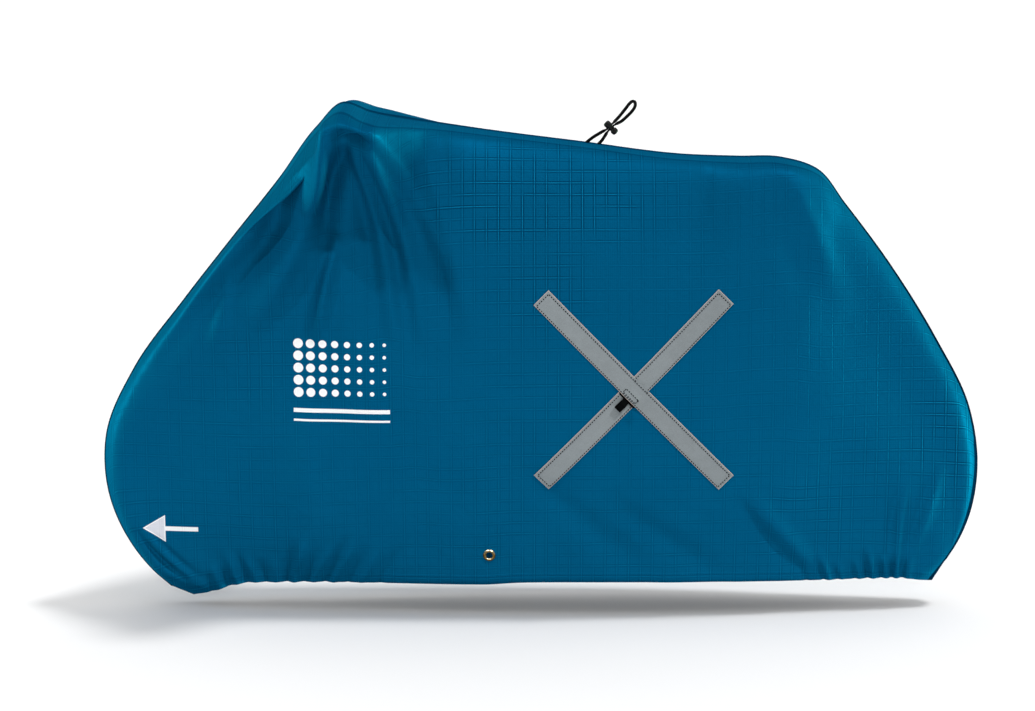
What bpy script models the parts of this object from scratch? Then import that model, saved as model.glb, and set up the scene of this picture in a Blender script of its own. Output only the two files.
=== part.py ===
"""Fitted outdoor cover: two sewn side panels that hang from the top like a tent.

Metres, +Z up, +X towards the back, -Y towards the printed near side.  Heights in
the tables are above the floor under the cover.  An empty shifts everything so
that the origin is the point under the top from which the cover hangs.
"""
import math

import bmesh
import bpy
import numpy as np
from mathutils import Matrix, Vector
from mathutils.bvhtree import BVHTree

# ---------------------------------------------------------------- driving sizes
HELD_X, HELD_Z = -0.400, 1.030      # point under the top that carries the cover
CLOTH = 0.0015                      # thickness of the side panels
GAP = 0.0003                        # clearance between pieces that touch
SEAM_Y = GAP / 2                    # each panel stops this far from the middle plane

NEAR_CELLS = 88                     # cells from the front corner round to the rear one
FAR_CELLS = 52
NEAR_ROWS = (4, 6, 5, 5, 4)         # cells between the six levels of a section
FAR_ROWS = (3, 4, 3, 3, 2)
PEAK_CLUSTER = 2.2                  # how much denser the cells are at the front peak
PEAK_CLUSTER_WIDTH = 0.16

STRIP_THICK = 0.0012                # reflective tape, two strips sewn on in an X
STRIP_WIDE = 0.043
STRIP_LIFT = 0.0006                 # clears the facets of the panel under it
STRIP_CELLS = (3, 34)               # across, along
# x, z of the two ends of each strip
UPPER_STRIP = ((0.001, 0.676), (0.385, 0.287))
LOWER_STRIP = ((0.002, 0.289), (0.381, 0.675))
CROSS_RAMP = (0.024, 0.046)         # the upper strip climbs over the lower one here
CROSS_LIFT = 0.0007                 # clearance between them, facets included

TAB_WIDE = 0.015                    # black webbing loop sewn under the upper strip
TAB_ROOT, TAB_TIP = 0.012, 0.051    # distances from the middle of the X
TAB_SHIFT = 0.0024                  # its middle, along the upper strip
TAB_PROUD = 0.0125                  # how far it stands off the strip
TAB_WEB = 0.0012                    # thickness of its webbing

EYELET_X, EYELET_Z = -0.106, 0.128
EYELET_HOLE_R = 0.0064
EYELET_NECK_R = 0.0078
EYELET_RIM_R = 0.013
EYELET_RIM_THICK = 0.0016
EYELET_SIDES = 32
CLOTH_HOLE_R = 0.0082

CORD_R = 0.0021                     # elastic drawcord that leaves the top as a loop
CORD_STEP = 0.0095                  # between the points of its centre line
RIDGE_LOW = 0.9                     # the top of the seam is what lies above this
LOCK_X, LOCK_Z = 0.1465, 1.0120     # middle of the cord lock
LOCK_LEAN = math.radians(45.0)      # the cord climbs backwards through it at this slope
LOCK_SLOT_MIDDLE = -0.0012          # hole for both strands: along the lock's axis,
LOCK_SLOT_LONG, LOCK_SLOT_WIDE = 0.0102, 0.0052
LOCK_SIDES = 24

# Sections from the front corner of the hem, up the front, along the top and down
# the back.  x, z: the seam.  crown: half-width of the cover where it turns over
# from top to side, drop: how far that lies below the seam.  high, mid, low, hem:
# half-widths further down.  hem_x: where the section ends on the hem.
SECTION_COLUMNS = ("x", "z", "crown", "drop", "high", "mid", "low", "hem", "hem_x")
SECTIONS = (
    (-0.782, 0.038, 0.000, 0.006, 0.000, 0.000, 0.000, 0.000, -0.736),
    (-0.822, 0.074, 0.024, 0.018, 0.029, 0.031, 0.031, 0.027, -0.695),
    (-0.862, 0.125, 0.030, 0.028, 0.036, 0.038, 0.038, 0.036, -0.645),
    (-0.911, 0.240, 0.032, 0.030, 0.041, 0.046, 0.046, 0.043, -0.590),
    (-0.914, 0.365, 0.034, 0.030, 0.048, 0.060, 0.058, 0.049, -0.525),
    (-0.852, 0.508, 0.044, 0.026, 0.064, 0.080, 0.076, 0.056, -0.455),
    (-0.745, 0.653, 0.084, 0.022, 0.088, 0.102, 0.092, 0.062, -0.400),
    (-0.643, 0.782, 0.144, 0.024, 0.106, 0.118, 0.104, 0.068, -0.350),
    (-0.541, 0.909, 0.204, 0.034, 0.132, 0.134, 0.112, 0.074, -0.300),
    (-0.462, 1.016, 0.250, 0.070, 0.150, 0.150, 0.118, 0.080, -0.250),
    (-0.408, 1.065, 0.292, 0.030, 0.144, 0.151, 0.122, 0.084, -0.205),
    (-0.350, 1.047, 0.302, 0.024, 0.136, 0.152, 0.125, 0.088, -0.155),
    (-0.260, 1.031, 0.150, 0.014, 0.134, 0.152, 0.128, 0.092, -0.100),
    (-0.130, 1.011, 0.066, 0.016, 0.132, 0.155, 0.130, 0.096, -0.015),
    (0.080, 0.984, 0.050, 0.018, 0.132, 0.152, 0.134, 0.100, 0.120),
    (0.300, 0.957, 0.054, 0.018, 0.118, 0.142, 0.130, 0.100, 0.255),
    (0.410, 0.953, 0.078, 0.018, 0.114, 0.134, 0.124, 0.095, 0.330),
    (0.500, 0.951, 0.084, 0.022, 0.108, 0.126, 0.116, 0.090, 0.395),
    (0.578, 0.925, 0.066, 0.024, 0.098, 0.117, 0.108, 0.083, 0.450),
    (0.633, 0.857, 0.046, 0.024, 0.086, 0.108, 0.101, 0.078, 0.495),
    (0.736, 0.720, 0.038, 0.026, 0.068, 0.090, 0.086, 0.070, 0.550),
    (0.829, 0.573, 0.034, 0.028, 0.056, 0.075, 0.074, 0.062, 0.605),
    (0.905, 0.420, 0.033, 0.030, 0.047, 0.060, 0.060, 0.052, 0.665),
    (0.924, 0.290, 0.032, 0.030, 0.040, 0.049, 0.049, 0.044, 0.715),
    (0.909, 0.190, 0.031, 0.028, 0.036, 0.042, 0.042, 0.038, 0.760),
    (0.884, 0.130, 0.025, 0.018, 0.031, 0.035, 0.035, 0.030, 0.798),
    (0.863, 0.096, 0.000, 0.006, 0.000, 0.000, 0.000, 0.000, 0.834),
)
# Levels of a section, from the seam down: place along the sheet, and along the
# straight line from seam to hem (the crown's own place is its drop).
LEVEL_SHEET = (0.0, 0.14, 0.36, 0.58, 0.82, 1.0)
LEVEL_LINE = (0.0, None, 0.27, 0.52, 0.79, 1.0)

# Height of the hem's lower edge above the floor.
HEM_EDGE = (
    # x, z
    (-0.736, 0.019), (-0.700, 0.030), (-0.640, 0.050), (-0.550, 0.057), (-0.480, 0.059),
    (-0.300, 0.061), (-0.120, 0.062), (-0.040, 0.067), (0.150, 0.069), (0.550, 0.066),
    (0.760, 0.064), (0.834, 0.050),
)


# ------------------------------------------------------------------- small maths
def spline(knots, values, at, limited):
    """Smooth curve through values at knots; limited keeps it from overshooting."""
    knots, values, at = (np.asarray(v, dtype=float) for v in (knots, values, at))
    span = np.diff(knots)
    slope = np.diff(values) / span
    before, after = span[:-1], span[1:]
    inner = (slope[:-1] * after + slope[1:] * before) / (before + after)
    if limited:
        turning = slope[:-1] * slope[1:] <= 0.0
        steepest = 3.0 * np.minimum(np.abs(slope[:-1]), np.abs(slope[1:]))
        inner = np.where(turning, 0.0, np.sign(inner) * np.minimum(np.abs(inner), steepest))
    tangent = np.concatenate((slope[:1], inner, slope[-1:]))
    cell = np.clip(np.searchsorted(knots, at, side="right") - 1, 0, len(span) - 1)
    u = (at - knots[cell]) / span[cell]
    near_start = (1.0 + 2.0 * u) * (1.0 - u) ** 2 * values[cell]
    near_end = u * u * (3.0 - 2.0 * u) * values[cell + 1]
    lean_start = u * (1.0 - u) ** 2 * span[cell] * tangent[cell]
    lean_end = u * u * (u - 1.0) * span[cell] * tangent[cell + 1]
    return near_start + near_end + lean_start + lean_end


def column(name):
    return np.array([row[SECTION_COLUMNS.index(name)] for row in SECTIONS])


# ---------------------------------------------------------------- the hung sheet
def seam_stations(cells):
    """Places along the seam, closer together around the front peak."""
    steps = np.hypot(np.diff(column("x")), np.diff(column("z")))
    knots = np.concatenate(((0.0,), np.cumsum(steps)))
    peak = knots[int(np.argmax(column("crown")))]
    fine = np.linspace(0.0, knots[-1], 2000)
    weight = 1.0 + PEAK_CLUSTER * np.exp(-((fine - peak) / PEAK_CLUSTER_WIDTH) ** 2)
    grown = np.concatenate(((0.0,), np.cumsum((weight[1:] + weight[:-1]) / 2)))
    return knots, np.interp(np.linspace(0.0, grown[-1], cells + 1), grown, fine)


def level_places(rows):
    """Places along the sheet from the seam to the hem, a few in each level."""
    places = [0.0]
    for level, count in enumerate(rows):
        start, end = LEVEL_SHEET[level], LEVEL_SHEET[level + 1]
        places += [start + (end - start) * (step + 1) / count for step in range(count)]
    return np.array(places)


def base_sheet(cells, rows):
    """Grid of points (section, row, xyz) of the near side without its folds."""
    knots, stations = seam_stations(cells)
    places = level_places(rows)
    seam_x = spline(knots, column("x"), stations, False)
    seam_z = spline(knots, column("z"), stations, False)
    hem_x = spline(knots, column("hem_x"), stations, True)
    edge = np.array(HEM_EDGE)
    hem_z = spline(edge[:, 0], edge[:, 1], hem_x, True)
    drop = spline(knots, column("drop"), stations, True)
    widths = {}
    for name in ("crown", "high", "mid", "low", "hem"):
        widths[name] = spline(knots, column(name), stations, True)

    grid = np.zeros((len(stations), len(places), 3))
    for i in range(len(stations)):
        down = np.array((hem_x[i] - seam_x[i], hem_z[i] - seam_z[i]))
        length = float(np.hypot(*down))
        line = [min(drop[i] / length, 0.2) if part is None else part for part in LEVEL_LINE]
        along = spline(LEVEL_SHEET, line, places, True)
        side = (0.0, *(widths[name][i] for name in ("crown", "high", "mid", "low", "hem")))
        grid[i, :, 0] = seam_x[i] + down[0] * along
        grid[i, :, 1] = -np.maximum(spline(LEVEL_SHEET, side, places, True), SEAM_Y)
        grid[i, :, 2] = seam_z[i] + down[1] * along
    return grid


# ------------------------------------------------------------------------- folds
# Soft ridges (height above zero) and troughs (below zero) of the hung cloth, each
# along a curve through three places seen from the side, with its half-width at
# the start and at the end.
NEAR_FOLDS = (
    # x0, z0, x1, z1, x2, z2, half-width at start, at end, height
    # fan from the front peak down towards the back
    (-0.355, 1.020, -0.262, 0.850, -0.180, 0.600, 0.016, 0.034, -0.011),
    (-0.330, 1.020, -0.235, 0.850, -0.140, 0.620, 0.014, 0.026, 0.008),
    (-0.372, 1.000, -0.312, 0.830, -0.268, 0.600, 0.012, 0.018, -0.009),
    (-0.360, 1.010, -0.288, 0.830, -0.238, 0.600, 0.012, 0.018, 0.009),
    (-0.395, 0.990, -0.355, 0.830, -0.330, 0.590, 0.014, 0.018, -0.009),
    (-0.385, 0.990, -0.332, 0.830, -0.300, 0.600, 0.012, 0.018, 0.009),
    # from the front peak straight down
    (-0.434, 1.000, -0.440, 0.950, -0.452, 0.880, 0.016, 0.020, 0.014),
    (-0.440, 0.820, -0.446, 0.720, -0.452, 0.580, 0.016, 0.022, 0.016),
    (-0.402, 0.960, -0.402, 0.820, -0.405, 0.640, 0.012, 0.026, -0.009),
    (-0.425, 0.905, -0.500, 0.842, -0.595, 0.750, 0.034, 0.038, -0.036),
    # from the front peak down towards the front
    (-0.455, 0.925, -0.530, 0.780, -0.625, 0.560, 0.014, 0.034, 0.008),
    (-0.475, 0.910, -0.575, 0.745, -0.690, 0.590, 0.014, 0.032, -0.009),
    (-0.465, 0.930, -0.600, 0.735, -0.735, 0.560, 0.014, 0.030, 0.010),
    (-0.560, 0.815, -0.690, 0.655, -0.812, 0.500, 0.014, 0.026, -0.006),
    # under the rear hump of the top
    (0.340, 0.930, 0.325, 0.840, 0.300, 0.740, 0.014, 0.034, -0.006),
    (0.425, 0.925, 0.415, 0.850, 0.400, 0.770, 0.018, 0.034, 0.005),
    (0.490, 0.900, 0.515, 0.800, 0.545, 0.690, 0.016, 0.034, -0.006),
    (0.530, 0.885, 0.575, 0.780, 0.620, 0.650, 0.014, 0.030, 0.006),
    # slack of the lower half
    (-0.020, 0.300, 0.095, 0.200, 0.215, 0.108, 0.026, 0.034, -0.007),
    (0.150, 0.245, 0.265, 0.160, 0.375, 0.085, 0.024, 0.030, -0.007),
    (0.430, 0.250, 0.500, 0.160, 0.572, 0.085, 0.016, 0.024, -0.010),
    (0.470, 0.250, 0.540, 0.165, 0.600, 0.095, 0.018, 0.024, 0.008),
    (-0.470, 0.430, -0.485, 0.340, -0.500, 0.240, 0.030, 0.040, 0.008),
    # cloth that turns in under the two ends
    (-0.825, 0.118, -0.785, 0.075, -0.740, 0.052, 0.012, 0.018, -0.008),
    (0.800, 0.400, 0.785, 0.260, 0.780, 0.120, 0.024, 0.018, 0.007),
)
FAR_FOLDS = (
    # x0, z0, x1, z1, x2, z2, half-width at start, at end, height
    (-0.350, 1.010, -0.250, 0.850, -0.130, 0.650, 0.018, 0.045, -0.011),
    (-0.370, 1.000, -0.310, 0.830, -0.250, 0.640, 0.016, 0.036, 0.010),
    (-0.405, 0.960, -0.395, 0.800, -0.380, 0.620, 0.016, 0.034, -0.010),
    (-0.440, 0.940, -0.490, 0.780, -0.540, 0.600, 0.016, 0.034, 0.010),
    (-0.465, 0.920, -0.590, 0.740, -0.710, 0.570, 0.016, 0.032, -0.009),
    (0.400, 0.920, 0.390, 0.820, 0.360, 0.700, 0.018, 0.036, -0.006),
    (0.520, 0.890, 0.570, 0.780, 0.620, 0.650, 0.016, 0.032, 0.006),
    (-0.120, 0.330, 0.010, 0.210, 0.140, 0.105, 0.028, 0.036, -0.008),
    (0.330, 0.270, 0.420, 0.170, 0.520, 0.090, 0.022, 0.030, -0.009),
)
# Puckers where the hem is drawn in: place on the hem, half-width, how far up they
# reach, how far they lean back on the way up, and height.
NEAR_GATHERS = (
    # x, half-width, reach, lean, height
    (-0.706, 0.016, 0.060, -0.010, -0.007),
    (-0.675, 0.015, 0.090, -0.006, 0.006),
    (-0.640, 0.016, 0.110, -0.012, 0.007),
    (-0.600, 0.017, 0.080, 0.004, -0.006),
    (-0.535, 0.018, 0.110, 0.020, 0.008),
    (-0.500, 0.018, 0.080, 0.014, -0.006),
    (-0.418, 0.020, 0.090, 0.008, 0.006),
    (-0.350, 0.024, 0.110, 0.050, -0.006),
    (0.622, 0.016, 0.070, -0.024, -0.008),
    (0.655, 0.015, 0.070, -0.010, 0.007),
    (0.690, 0.014, 0.070, -0.006, -0.006),
    (0.726, 0.014, 0.080, -0.004, 0.007),
    (0.758, 0.014, 0.080, 0.004, -0.008),
    (0.792, 0.014, 0.090, 0.008, 0.007),
)
FAR_GATHERS = (
    # x, half-width, reach, lean, height
    (-0.690, 0.018, 0.080, -0.008, 0.006),
    (-0.640, 0.018, 0.090, -0.006, -0.006),
    (-0.560, 0.020, 0.100, 0.010, 0.007),
    (-0.470, 0.022, 0.090, 0.014, -0.006),
    (0.600, 0.020, 0.090, -0.010, 0.007),
    (0.670, 0.018, 0.080, -0.006, -0.007),
    (0.740, 0.018, 0.080, 0.004, 0.007),
)
SEAM_CALM = 0.10        # folds die out over this share of the sheet under the seam
CURVE_STEPS = 16


def soft_step(value, start, end):
    u = np.clip((value - start) / (end - start), 0.0, 1.0)
    return u * u * (3.0 - 2.0 * u)


def fold_relief(x, z, folds):
    """Height of all folds at side-view places x, z."""
    relief = np.zeros_like(x)
    for x0, z0, x1, z1, x2, z2, wide0, wide1, height in folds:
        u = np.linspace(0.0, 1.0, CURVE_STEPS)
        bend_x, bend_z = 2.0 * x1 - (x0 + x2) / 2.0, 2.0 * z1 - (z0 + z2) / 2.0
        path_x = (1.0 - u) ** 2 * x0 + 2.0 * u * (1.0 - u) * bend_x + u * u * x2
        path_z = (1.0 - u) ** 2 * z0 + 2.0 * u * (1.0 - u) * bend_z + u * u * z2
        nearest = np.full_like(x, np.inf)
        place = np.zeros_like(x)
        for k in range(CURVE_STEPS - 1):
            run_x, run_z = path_x[k + 1] - path_x[k], path_z[k + 1] - path_z[k]
            share = ((x - path_x[k]) * run_x + (z - path_z[k]) * run_z) / (run_x**2 + run_z**2)
            share = np.clip(share, 0.0, 1.0)
            away = np.hypot(x - path_x[k] - share * run_x, z - path_z[k] - share * run_z)
            closer = away < nearest
            nearest = np.where(closer, away, nearest)
            place = np.where(closer, (k + share) / (CURVE_STEPS - 1), place)
        wide = wide0 + (wide1 - wide0) * place
        strength = np.sin(np.pi * np.clip(0.08 + 0.84 * place, 0.0, 1.0)) ** 0.7
        relief += height * strength * np.exp(-((nearest / wide) ** 2))
    return relief


def gather_relief(x, z, gathers):
    """Height of the puckers along the drawn-in hem."""
    edge = np.array(HEM_EDGE)
    above = z - np.interp(x, edge[:, 0], edge[:, 1])
    relief = np.zeros_like(x)
    for place, wide, reach, lean, height in gathers:
        up = np.clip(above / reach, 0.0, 1.0)
        middle = place + lean * up
        spread = wide * (1.0 + 0.5 * up)
        relief += height * (1.0 - soft_step(up, 0.35, 1.0)) * np.exp(-(((x - middle) / spread) ** 2))
    return relief


def outward(grid):
    """Unit normals of the near side, pointing out of the cover."""
    along = np.gradient(grid, axis=0)
    down = np.gradient(grid, axis=1)
    normal = -np.cross(along, down)
    return normal / np.linalg.norm(normal, axis=2, keepdims=True)


def folded_sheet(cells, rows, side):
    """Outer face of one side panel, on the near side of the middle plane."""
    grid = base_sheet(cells, rows)
    x, z = grid[:, :, 0].copy(), grid[:, :, 2].copy()
    near = side == "near"
    relief = fold_relief(x, z, NEAR_FOLDS if near else FAR_FOLDS)
    relief += gather_relief(x, z, NEAR_GATHERS if near else FAR_GATHERS)
    relief *= soft_step(level_places(rows), 0.0, SEAM_CALM)[None, :]
    relief *= soft_step(-grid[:, :, 1], 0.0, 0.020)
    grid += outward(grid) * relief[:, :, None]
    grid[:, :, 1] = np.minimum(grid[:, :, 1], -SEAM_Y)
    return grid


def square_to(toward, line):
    """Unit part of toward that is square to line, both kept in the middle plane."""
    toward, line = toward * (1.0, 0.0, 1.0), line * (1.0, 0.0, 1.0)
    line = line / np.linalg.norm(line)
    across = toward - line * np.dot(toward, line)
    return across / np.linalg.norm(across)


def sheet_solid(name, grid, mirrored, material):
    """Closed thin solid: the grid is its outer face, the inner one lies a cloth's width in."""
    inward = -outward(grid)
    last = grid.shape[0] - 1
    for i in range(1, last):
        inward[i, 0] = square_to(grid[i, 1] - grid[i, 0], grid[i + 1, 0] - grid[i - 1, 0])
    for end, inside in ((0, 1), (last, last - 1)):
        for j in range(grid.shape[1]):
            line = grid[end, -1] - grid[end, 0]
            inward[end, j] = square_to(grid[inside, j] - grid[end, j], line)
    inner = grid + inward * CLOTH
    inner[:, :, 1] = np.minimum(inner[:, :, 1], -SEAM_Y)
    flip = -1.0 if mirrored else 1.0
    sections, levels = grid.shape[:2]
    model = bmesh.new()
    skins = []
    for skin in (grid, inner):
        skins.append([[model.verts.new((p[0], flip * p[1], p[2])) for p in line] for line in skin])
    outer_verts, inner_verts = skins
    for i in range(sections - 1):
        for j in range(levels - 1):
            a, b = outer_verts[i], outer_verts[i + 1]
            model.faces.new((a[j], a[j + 1], b[j + 1], b[j]))
            a, b = inner_verts[i], inner_verts[i + 1]
            model.faces.new((a[j], b[j], b[j + 1], a[j + 1]))
    rim = [(i, 0) for i in range(sections)]
    rim += [(sections - 1, j) for j in range(1, levels)]
    rim += [(i, levels - 1) for i in range(sections - 2, -1, -1)]
    rim += [(0, j) for j in range(levels - 2, 0, -1)]
    for (i, j), (k, m) in zip(rim, rim[1:] + rim[:1]):
        model.faces.new((outer_verts[i][j], outer_verts[k][m], inner_verts[k][m], inner_verts[i][j]))
    bmesh.ops.recalc_face_normals(model, faces=model.faces)
    return finished(name, model, material, smooth=True)


# --------------------------------------------------------------- Blender helpers
def new_material(name, colour, roughness, metallic=0.0):
    material = bpy.data.materials.new(name)
    material.use_nodes = True
    shader = material.node_tree.nodes["Principled BSDF"]
    shader.inputs["Base Color"].default_value = (*colour, 1.0)
    shader.inputs["Roughness"].default_value = roughness
    shader.inputs["Metallic"].default_value = metallic
    return material


def finished(name, model, material=None, smooth=False):
    """Turn a bmesh into a named object with one material."""
    mesh = bpy.data.meshes.new(name)
    model.to_mesh(mesh)
    model.free()
    if material:
        mesh.materials.append(material)
    if smooth:
        mesh.shade_smooth()
        mesh.set_sharp_from_angle(angle=math.radians(50.0))
    thing = bpy.data.objects.new(name, mesh)
    bpy.context.scene.collection.objects.link(thing)
    return thing


def turned(profile, sides):
    """bmesh of a closed profile (radius, height) turned about Z."""
    model = bmesh.new()
    rings = []
    for step in range(sides):
        angle = 2.0 * math.pi * step / sides
        ring = [model.verts.new((r * math.cos(angle), r * math.sin(angle), h)) for r, h in profile]
        rings.append(ring)
    for ring, following in zip(rings, rings[1:] + rings[:1]):
        for k in range(len(profile)):
            m = (k + 1) % len(profile)
            model.faces.new((ring[k], ring[m], following[m], following[k]))
    bmesh.ops.remove_doubles(model, verts=model.verts, dist=1e-6)
    bmesh.ops.recalc_face_normals(model, faces=model.faces)
    return model


def cut(thing, cutter):
    """Boolean difference kept as a modifier; the cutter is only a guide."""
    cutter.hide_render = True
    cutter.display_type = "WIRE"
    modifier = thing.modifiers.new("cut_" + cutter.name, "BOOLEAN")
    modifier.operation = "DIFFERENCE"
    modifier.solver = "EXACT"
    modifier.object = cutter


# ------------------------------------------------------ pieces sewn on the panel
class PanelFace:
    """The outer face of the near panel, met by looking along +Y."""

    def __init__(self, panel):
        model = bmesh.new()
        model.from_mesh(panel.data)
        self.tree = BVHTree.FromBMesh(model)
        model.free()

    def depth(self, x, z):
        hit = self.tree.ray_cast(Vector((x, -1.0, z)), Vector((0.0, 1.0, 0.0)))
        return hit[0].y

    def proudest(self, x, z, reach):
        """The outermost depth within a small square, for pieces that lie over it."""
        shifts = (-reach, 0.0, reach)
        return min(self.depth(x + dx, z + dz) for dx in shifts for dz in shifts)


class StripFrame:
    """Side-view coordinates of a strip: along it, and across it towards the tab."""

    def __init__(self, ends):
        (x0, z0), (x1, z1) = ends
        self.length = math.hypot(x1 - x0, z1 - z0)
        self.along = ((x1 - x0) / self.length, (z1 - z0) / self.length)
        self.across = (self.along[1], -self.along[0])
        self.middle = ((x0 + x1) / 2.0, (z0 + z1) / 2.0)

    def place(self, a, b):
        x = self.middle[0] + a * self.along[0] + b * self.across[0]
        z = self.middle[1] + a * self.along[1] + b * self.across[1]
        return x, z


def tab_lift(a, b):
    """Extra height of the upper strip over the sewn end of the webbing loop."""
    off_middle = abs(a - TAB_SHIFT) - TAB_WIDE / 2.0
    side = 1.0 - float(soft_step(off_middle, 0.003, 0.016))
    inner = float(soft_step(b, -0.004, TAB_ROOT - 0.0015))
    return (2.0 * TAB_WEB + 2.0 * GAP) * side * inner


def strip_lift(a, b, over_other):
    if not over_other:
        return STRIP_LIFT
    climb = 1.0 - float(soft_step(abs(a), *CROSS_RAMP))
    return STRIP_LIFT + (STRIP_THICK + CROSS_LIFT) * climb + tab_lift(a, b)


def strip_solid(name, ends, face, over_other, material):
    """A flat strip that follows the panel, as a grid with two faces."""
    frame = StripFrame(ends)
    across, along = STRIP_CELLS
    model = bmesh.new()
    lower, upper = [], []
    for i in range(along + 1):
        a = frame.length * (i / along - 0.5)
        low_line, high_line = [], []
        for j in range(across + 1):
            b = STRIP_WIDE * (j / across - 0.5)
            x, z = frame.place(a, b)
            depth = face.proudest(x, z, STRIP_WIDE / across / 3.0)
            lift = strip_lift(a, b, over_other)
            low_line.append(model.verts.new((x, depth - lift, z)))
            high_line.append(model.verts.new((x, depth - lift - STRIP_THICK, z)))
        lower.append(low_line)
        upper.append(high_line)
    for i in range(along):
        for j in range(across):
            for skin in (lower, upper):
                model.faces.new((skin[i][j], skin[i + 1][j], skin[i + 1][j + 1], skin[i][j + 1]))
    rim = [(i, 0) for i in range(along + 1)] + [(along, j) for j in range(1, across + 1)]
    rim += [(i, across) for i in range(along - 1, -1, -1)] + [(0, j) for j in range(across - 1, 0, -1)]
    for (i, j), (k, m) in zip(rim, rim[1:] + rim[:1]):
        model.faces.new((lower[i][j], lower[k][m], upper[k][m], upper[i][j]))
    bmesh.ops.recalc_face_normals(model, faces=model.faces)
    return finished(name, model, material)


def tab_outline(inset):
    """Section of the webbing loop: distance from the middle of the X, height off the strip."""
    low, high = inset, TAB_PROUD - inset
    tip = TAB_TIP - inset
    web = TAB_WEB
    if inset == 0.0:
        root = ((TAB_ROOT, 0.0), (TAB_ROOT, 2.0 * web), (TAB_ROOT + 0.0115, 2.0 * web + 0.0004))
    else:
        root = ((TAB_ROOT + 0.013, web), (TAB_ROOT + 0.0145, 2.0 * web - 0.0002))
    top = ((TAB_ROOT + 0.0165, high * 0.62), (TAB_ROOT + 0.021, high * 0.94), (TAB_TIP - 0.012, high))
    nose = ((tip - 0.004, high - 0.0012), (tip - 0.0008, high - 0.0040), (tip, TAB_PROUD * 0.45))
    sole = ((tip - 0.0008, low + 0.0022), (tip - 0.0035, low))
    return root + top + nose + sole


def webbing_loop(name, face, material):
    """Webbing folded into a loop, its two ends sewn flat under the upper strip."""
    frame = StripFrame(UPPER_STRIP)
    base = STRIP_LIFT + STRIP_THICK + GAP
    outer, inner = tab_outline(0.0), tab_outline(TAB_WEB)
    model = bmesh.new()
    faces_of_side = []
    for a in (TAB_SHIFT - TAB_WIDE / 2.0, TAB_SHIFT + TAB_WIDE / 2.0):
        loops = []
        for outline in (outer, inner):
            ring = []
            for b, height in outline:
                x, z = frame.place(a, b)
                depth = face.proudest(x, z, 0.004)
                ring.append(model.verts.new((x, depth - base - height, z)))
            loops.append(ring)
        faces_of_side.append(loops)
    for which in (0, 1):
        first, second = faces_of_side[0][which], faces_of_side[1][which]
        for k in range(len(first)):
            m = (k + 1) % len(first)
            model.faces.new((first[k], first[m], second[m], second[k]))
    for loops in faces_of_side:
        edges = []
        for ring in loops:
            for k in range(len(ring)):
                edges.append(model.edges.get((ring[k], ring[(k + 1) % len(ring)])))
        bmesh.ops.triangle_fill(model, use_beauty=True, use_dissolve=False, edges=edges)
    bmesh.ops.recalc_face_normals(model, faces=model.faces)
    return finished(name, model, material)


# ------------------------------------------------------------------------ eyelet
def eyelet_frame(face):
    """Turn and place that set a ring's axis square to the cloth at the eyelet."""
    reach = EYELET_RIM_R
    depth = face.depth(EYELET_X, EYELET_Z)
    slope_x = (face.depth(EYELET_X + reach, EYELET_Z) - face.depth(EYELET_X - reach, EYELET_Z))
    slope_z = (face.depth(EYELET_X, EYELET_Z + reach) - face.depth(EYELET_X, EYELET_Z - reach))
    out = Vector((slope_x / (2.0 * reach), -1.0, slope_z / (2.0 * reach))).normalized()
    turn = out.to_track_quat("Z", "Y").to_matrix().to_4x4()
    return Matrix.Translation((EYELET_X, depth, EYELET_Z)) @ turn


def eyelet_ring(name, face, material):
    """Two rims with the cloth between them, joined by the neck in its hole."""
    frame = eyelet_frame(face)
    back_to_panel = frame.inverted()
    proud = 0.0
    for step in range(16):
        angle = 2.0 * math.pi * step / 16
        for radius in (EYELET_NECK_R, EYELET_RIM_R):
            x = EYELET_X + radius * math.cos(angle)
            z = EYELET_Z + radius * math.sin(angle)
            height = (back_to_panel @ Vector((x, face.depth(x, z), z))).z
            proud = max(proud, abs(height))
    front = proud + GAP
    back = -proud - CLOTH - GAP
    half = EYELET_RIM_THICK
    profile = (
        (EYELET_HOLE_R, back - half * 0.4),
        (EYELET_HOLE_R, front + half * 0.6),
        (EYELET_HOLE_R + 0.0010, front + half * 1.05),
        (EYELET_HOLE_R + 0.0026, front + half * 1.15),
        (EYELET_RIM_R - 0.0016, front + half * 0.85),
        (EYELET_RIM_R, front + half * 0.2),
        (EYELET_RIM_R - 0.0002, front),
        (EYELET_NECK_R, front),
        (EYELET_NECK_R, back),
        (EYELET_RIM_R - 0.0008, back),
        (EYELET_RIM_R - 0.0008, back - half * 0.5),
        (EYELET_HOLE_R + 0.0012, back - half * 0.7),
    )
    ring = finished(name, turned(profile, EYELET_SIDES), material, smooth=True)
    ring.matrix_world = frame
    return ring


def hole_cutter(name, face):
    model = bmesh.new()
    bmesh.ops.create_cone(
        model, cap_ends=True, segments=24, radius1=CLOTH_HOLE_R, radius2=CLOTH_HOLE_R, depth=0.04
    )
    cutter = finished(name, model)
    cutter.matrix_world = eyelet_frame(face)
    return cutter


# --------------------------------------------------------- drawcord and its lock
# Centre line of the cord in the lock's own frame: up along the cord, and along
# the lock's axis towards its button.  Its two ends stand on the ridge.
CORD_ROUTE = (
    # along the cord, along the lock's axis
    (-0.0520, -0.0142), (-0.0420, -0.0122), (-0.0279, -0.0090), (-0.0170, -0.0061),
    (-0.0090, -0.0038), (0.0090, -0.0036), (0.0280, -0.0040), (0.0480, -0.0062),
    (0.0620, -0.0079), (0.0712, -0.0060), (0.0745, 0.0000), (0.0705, 0.0058),
    (0.0600, 0.0079), (0.0410, 0.0080), (0.0250, 0.0062), (0.0090, 0.0014),
    (-0.0090, 0.0012), (-0.0228, 0.0040), (-0.0315, 0.0058), (-0.0385, 0.0056),
)
CORD_ENDS = ((0.0977, 0.0013), (0.1213, 0.0013))    # x, height above the ridge
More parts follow.
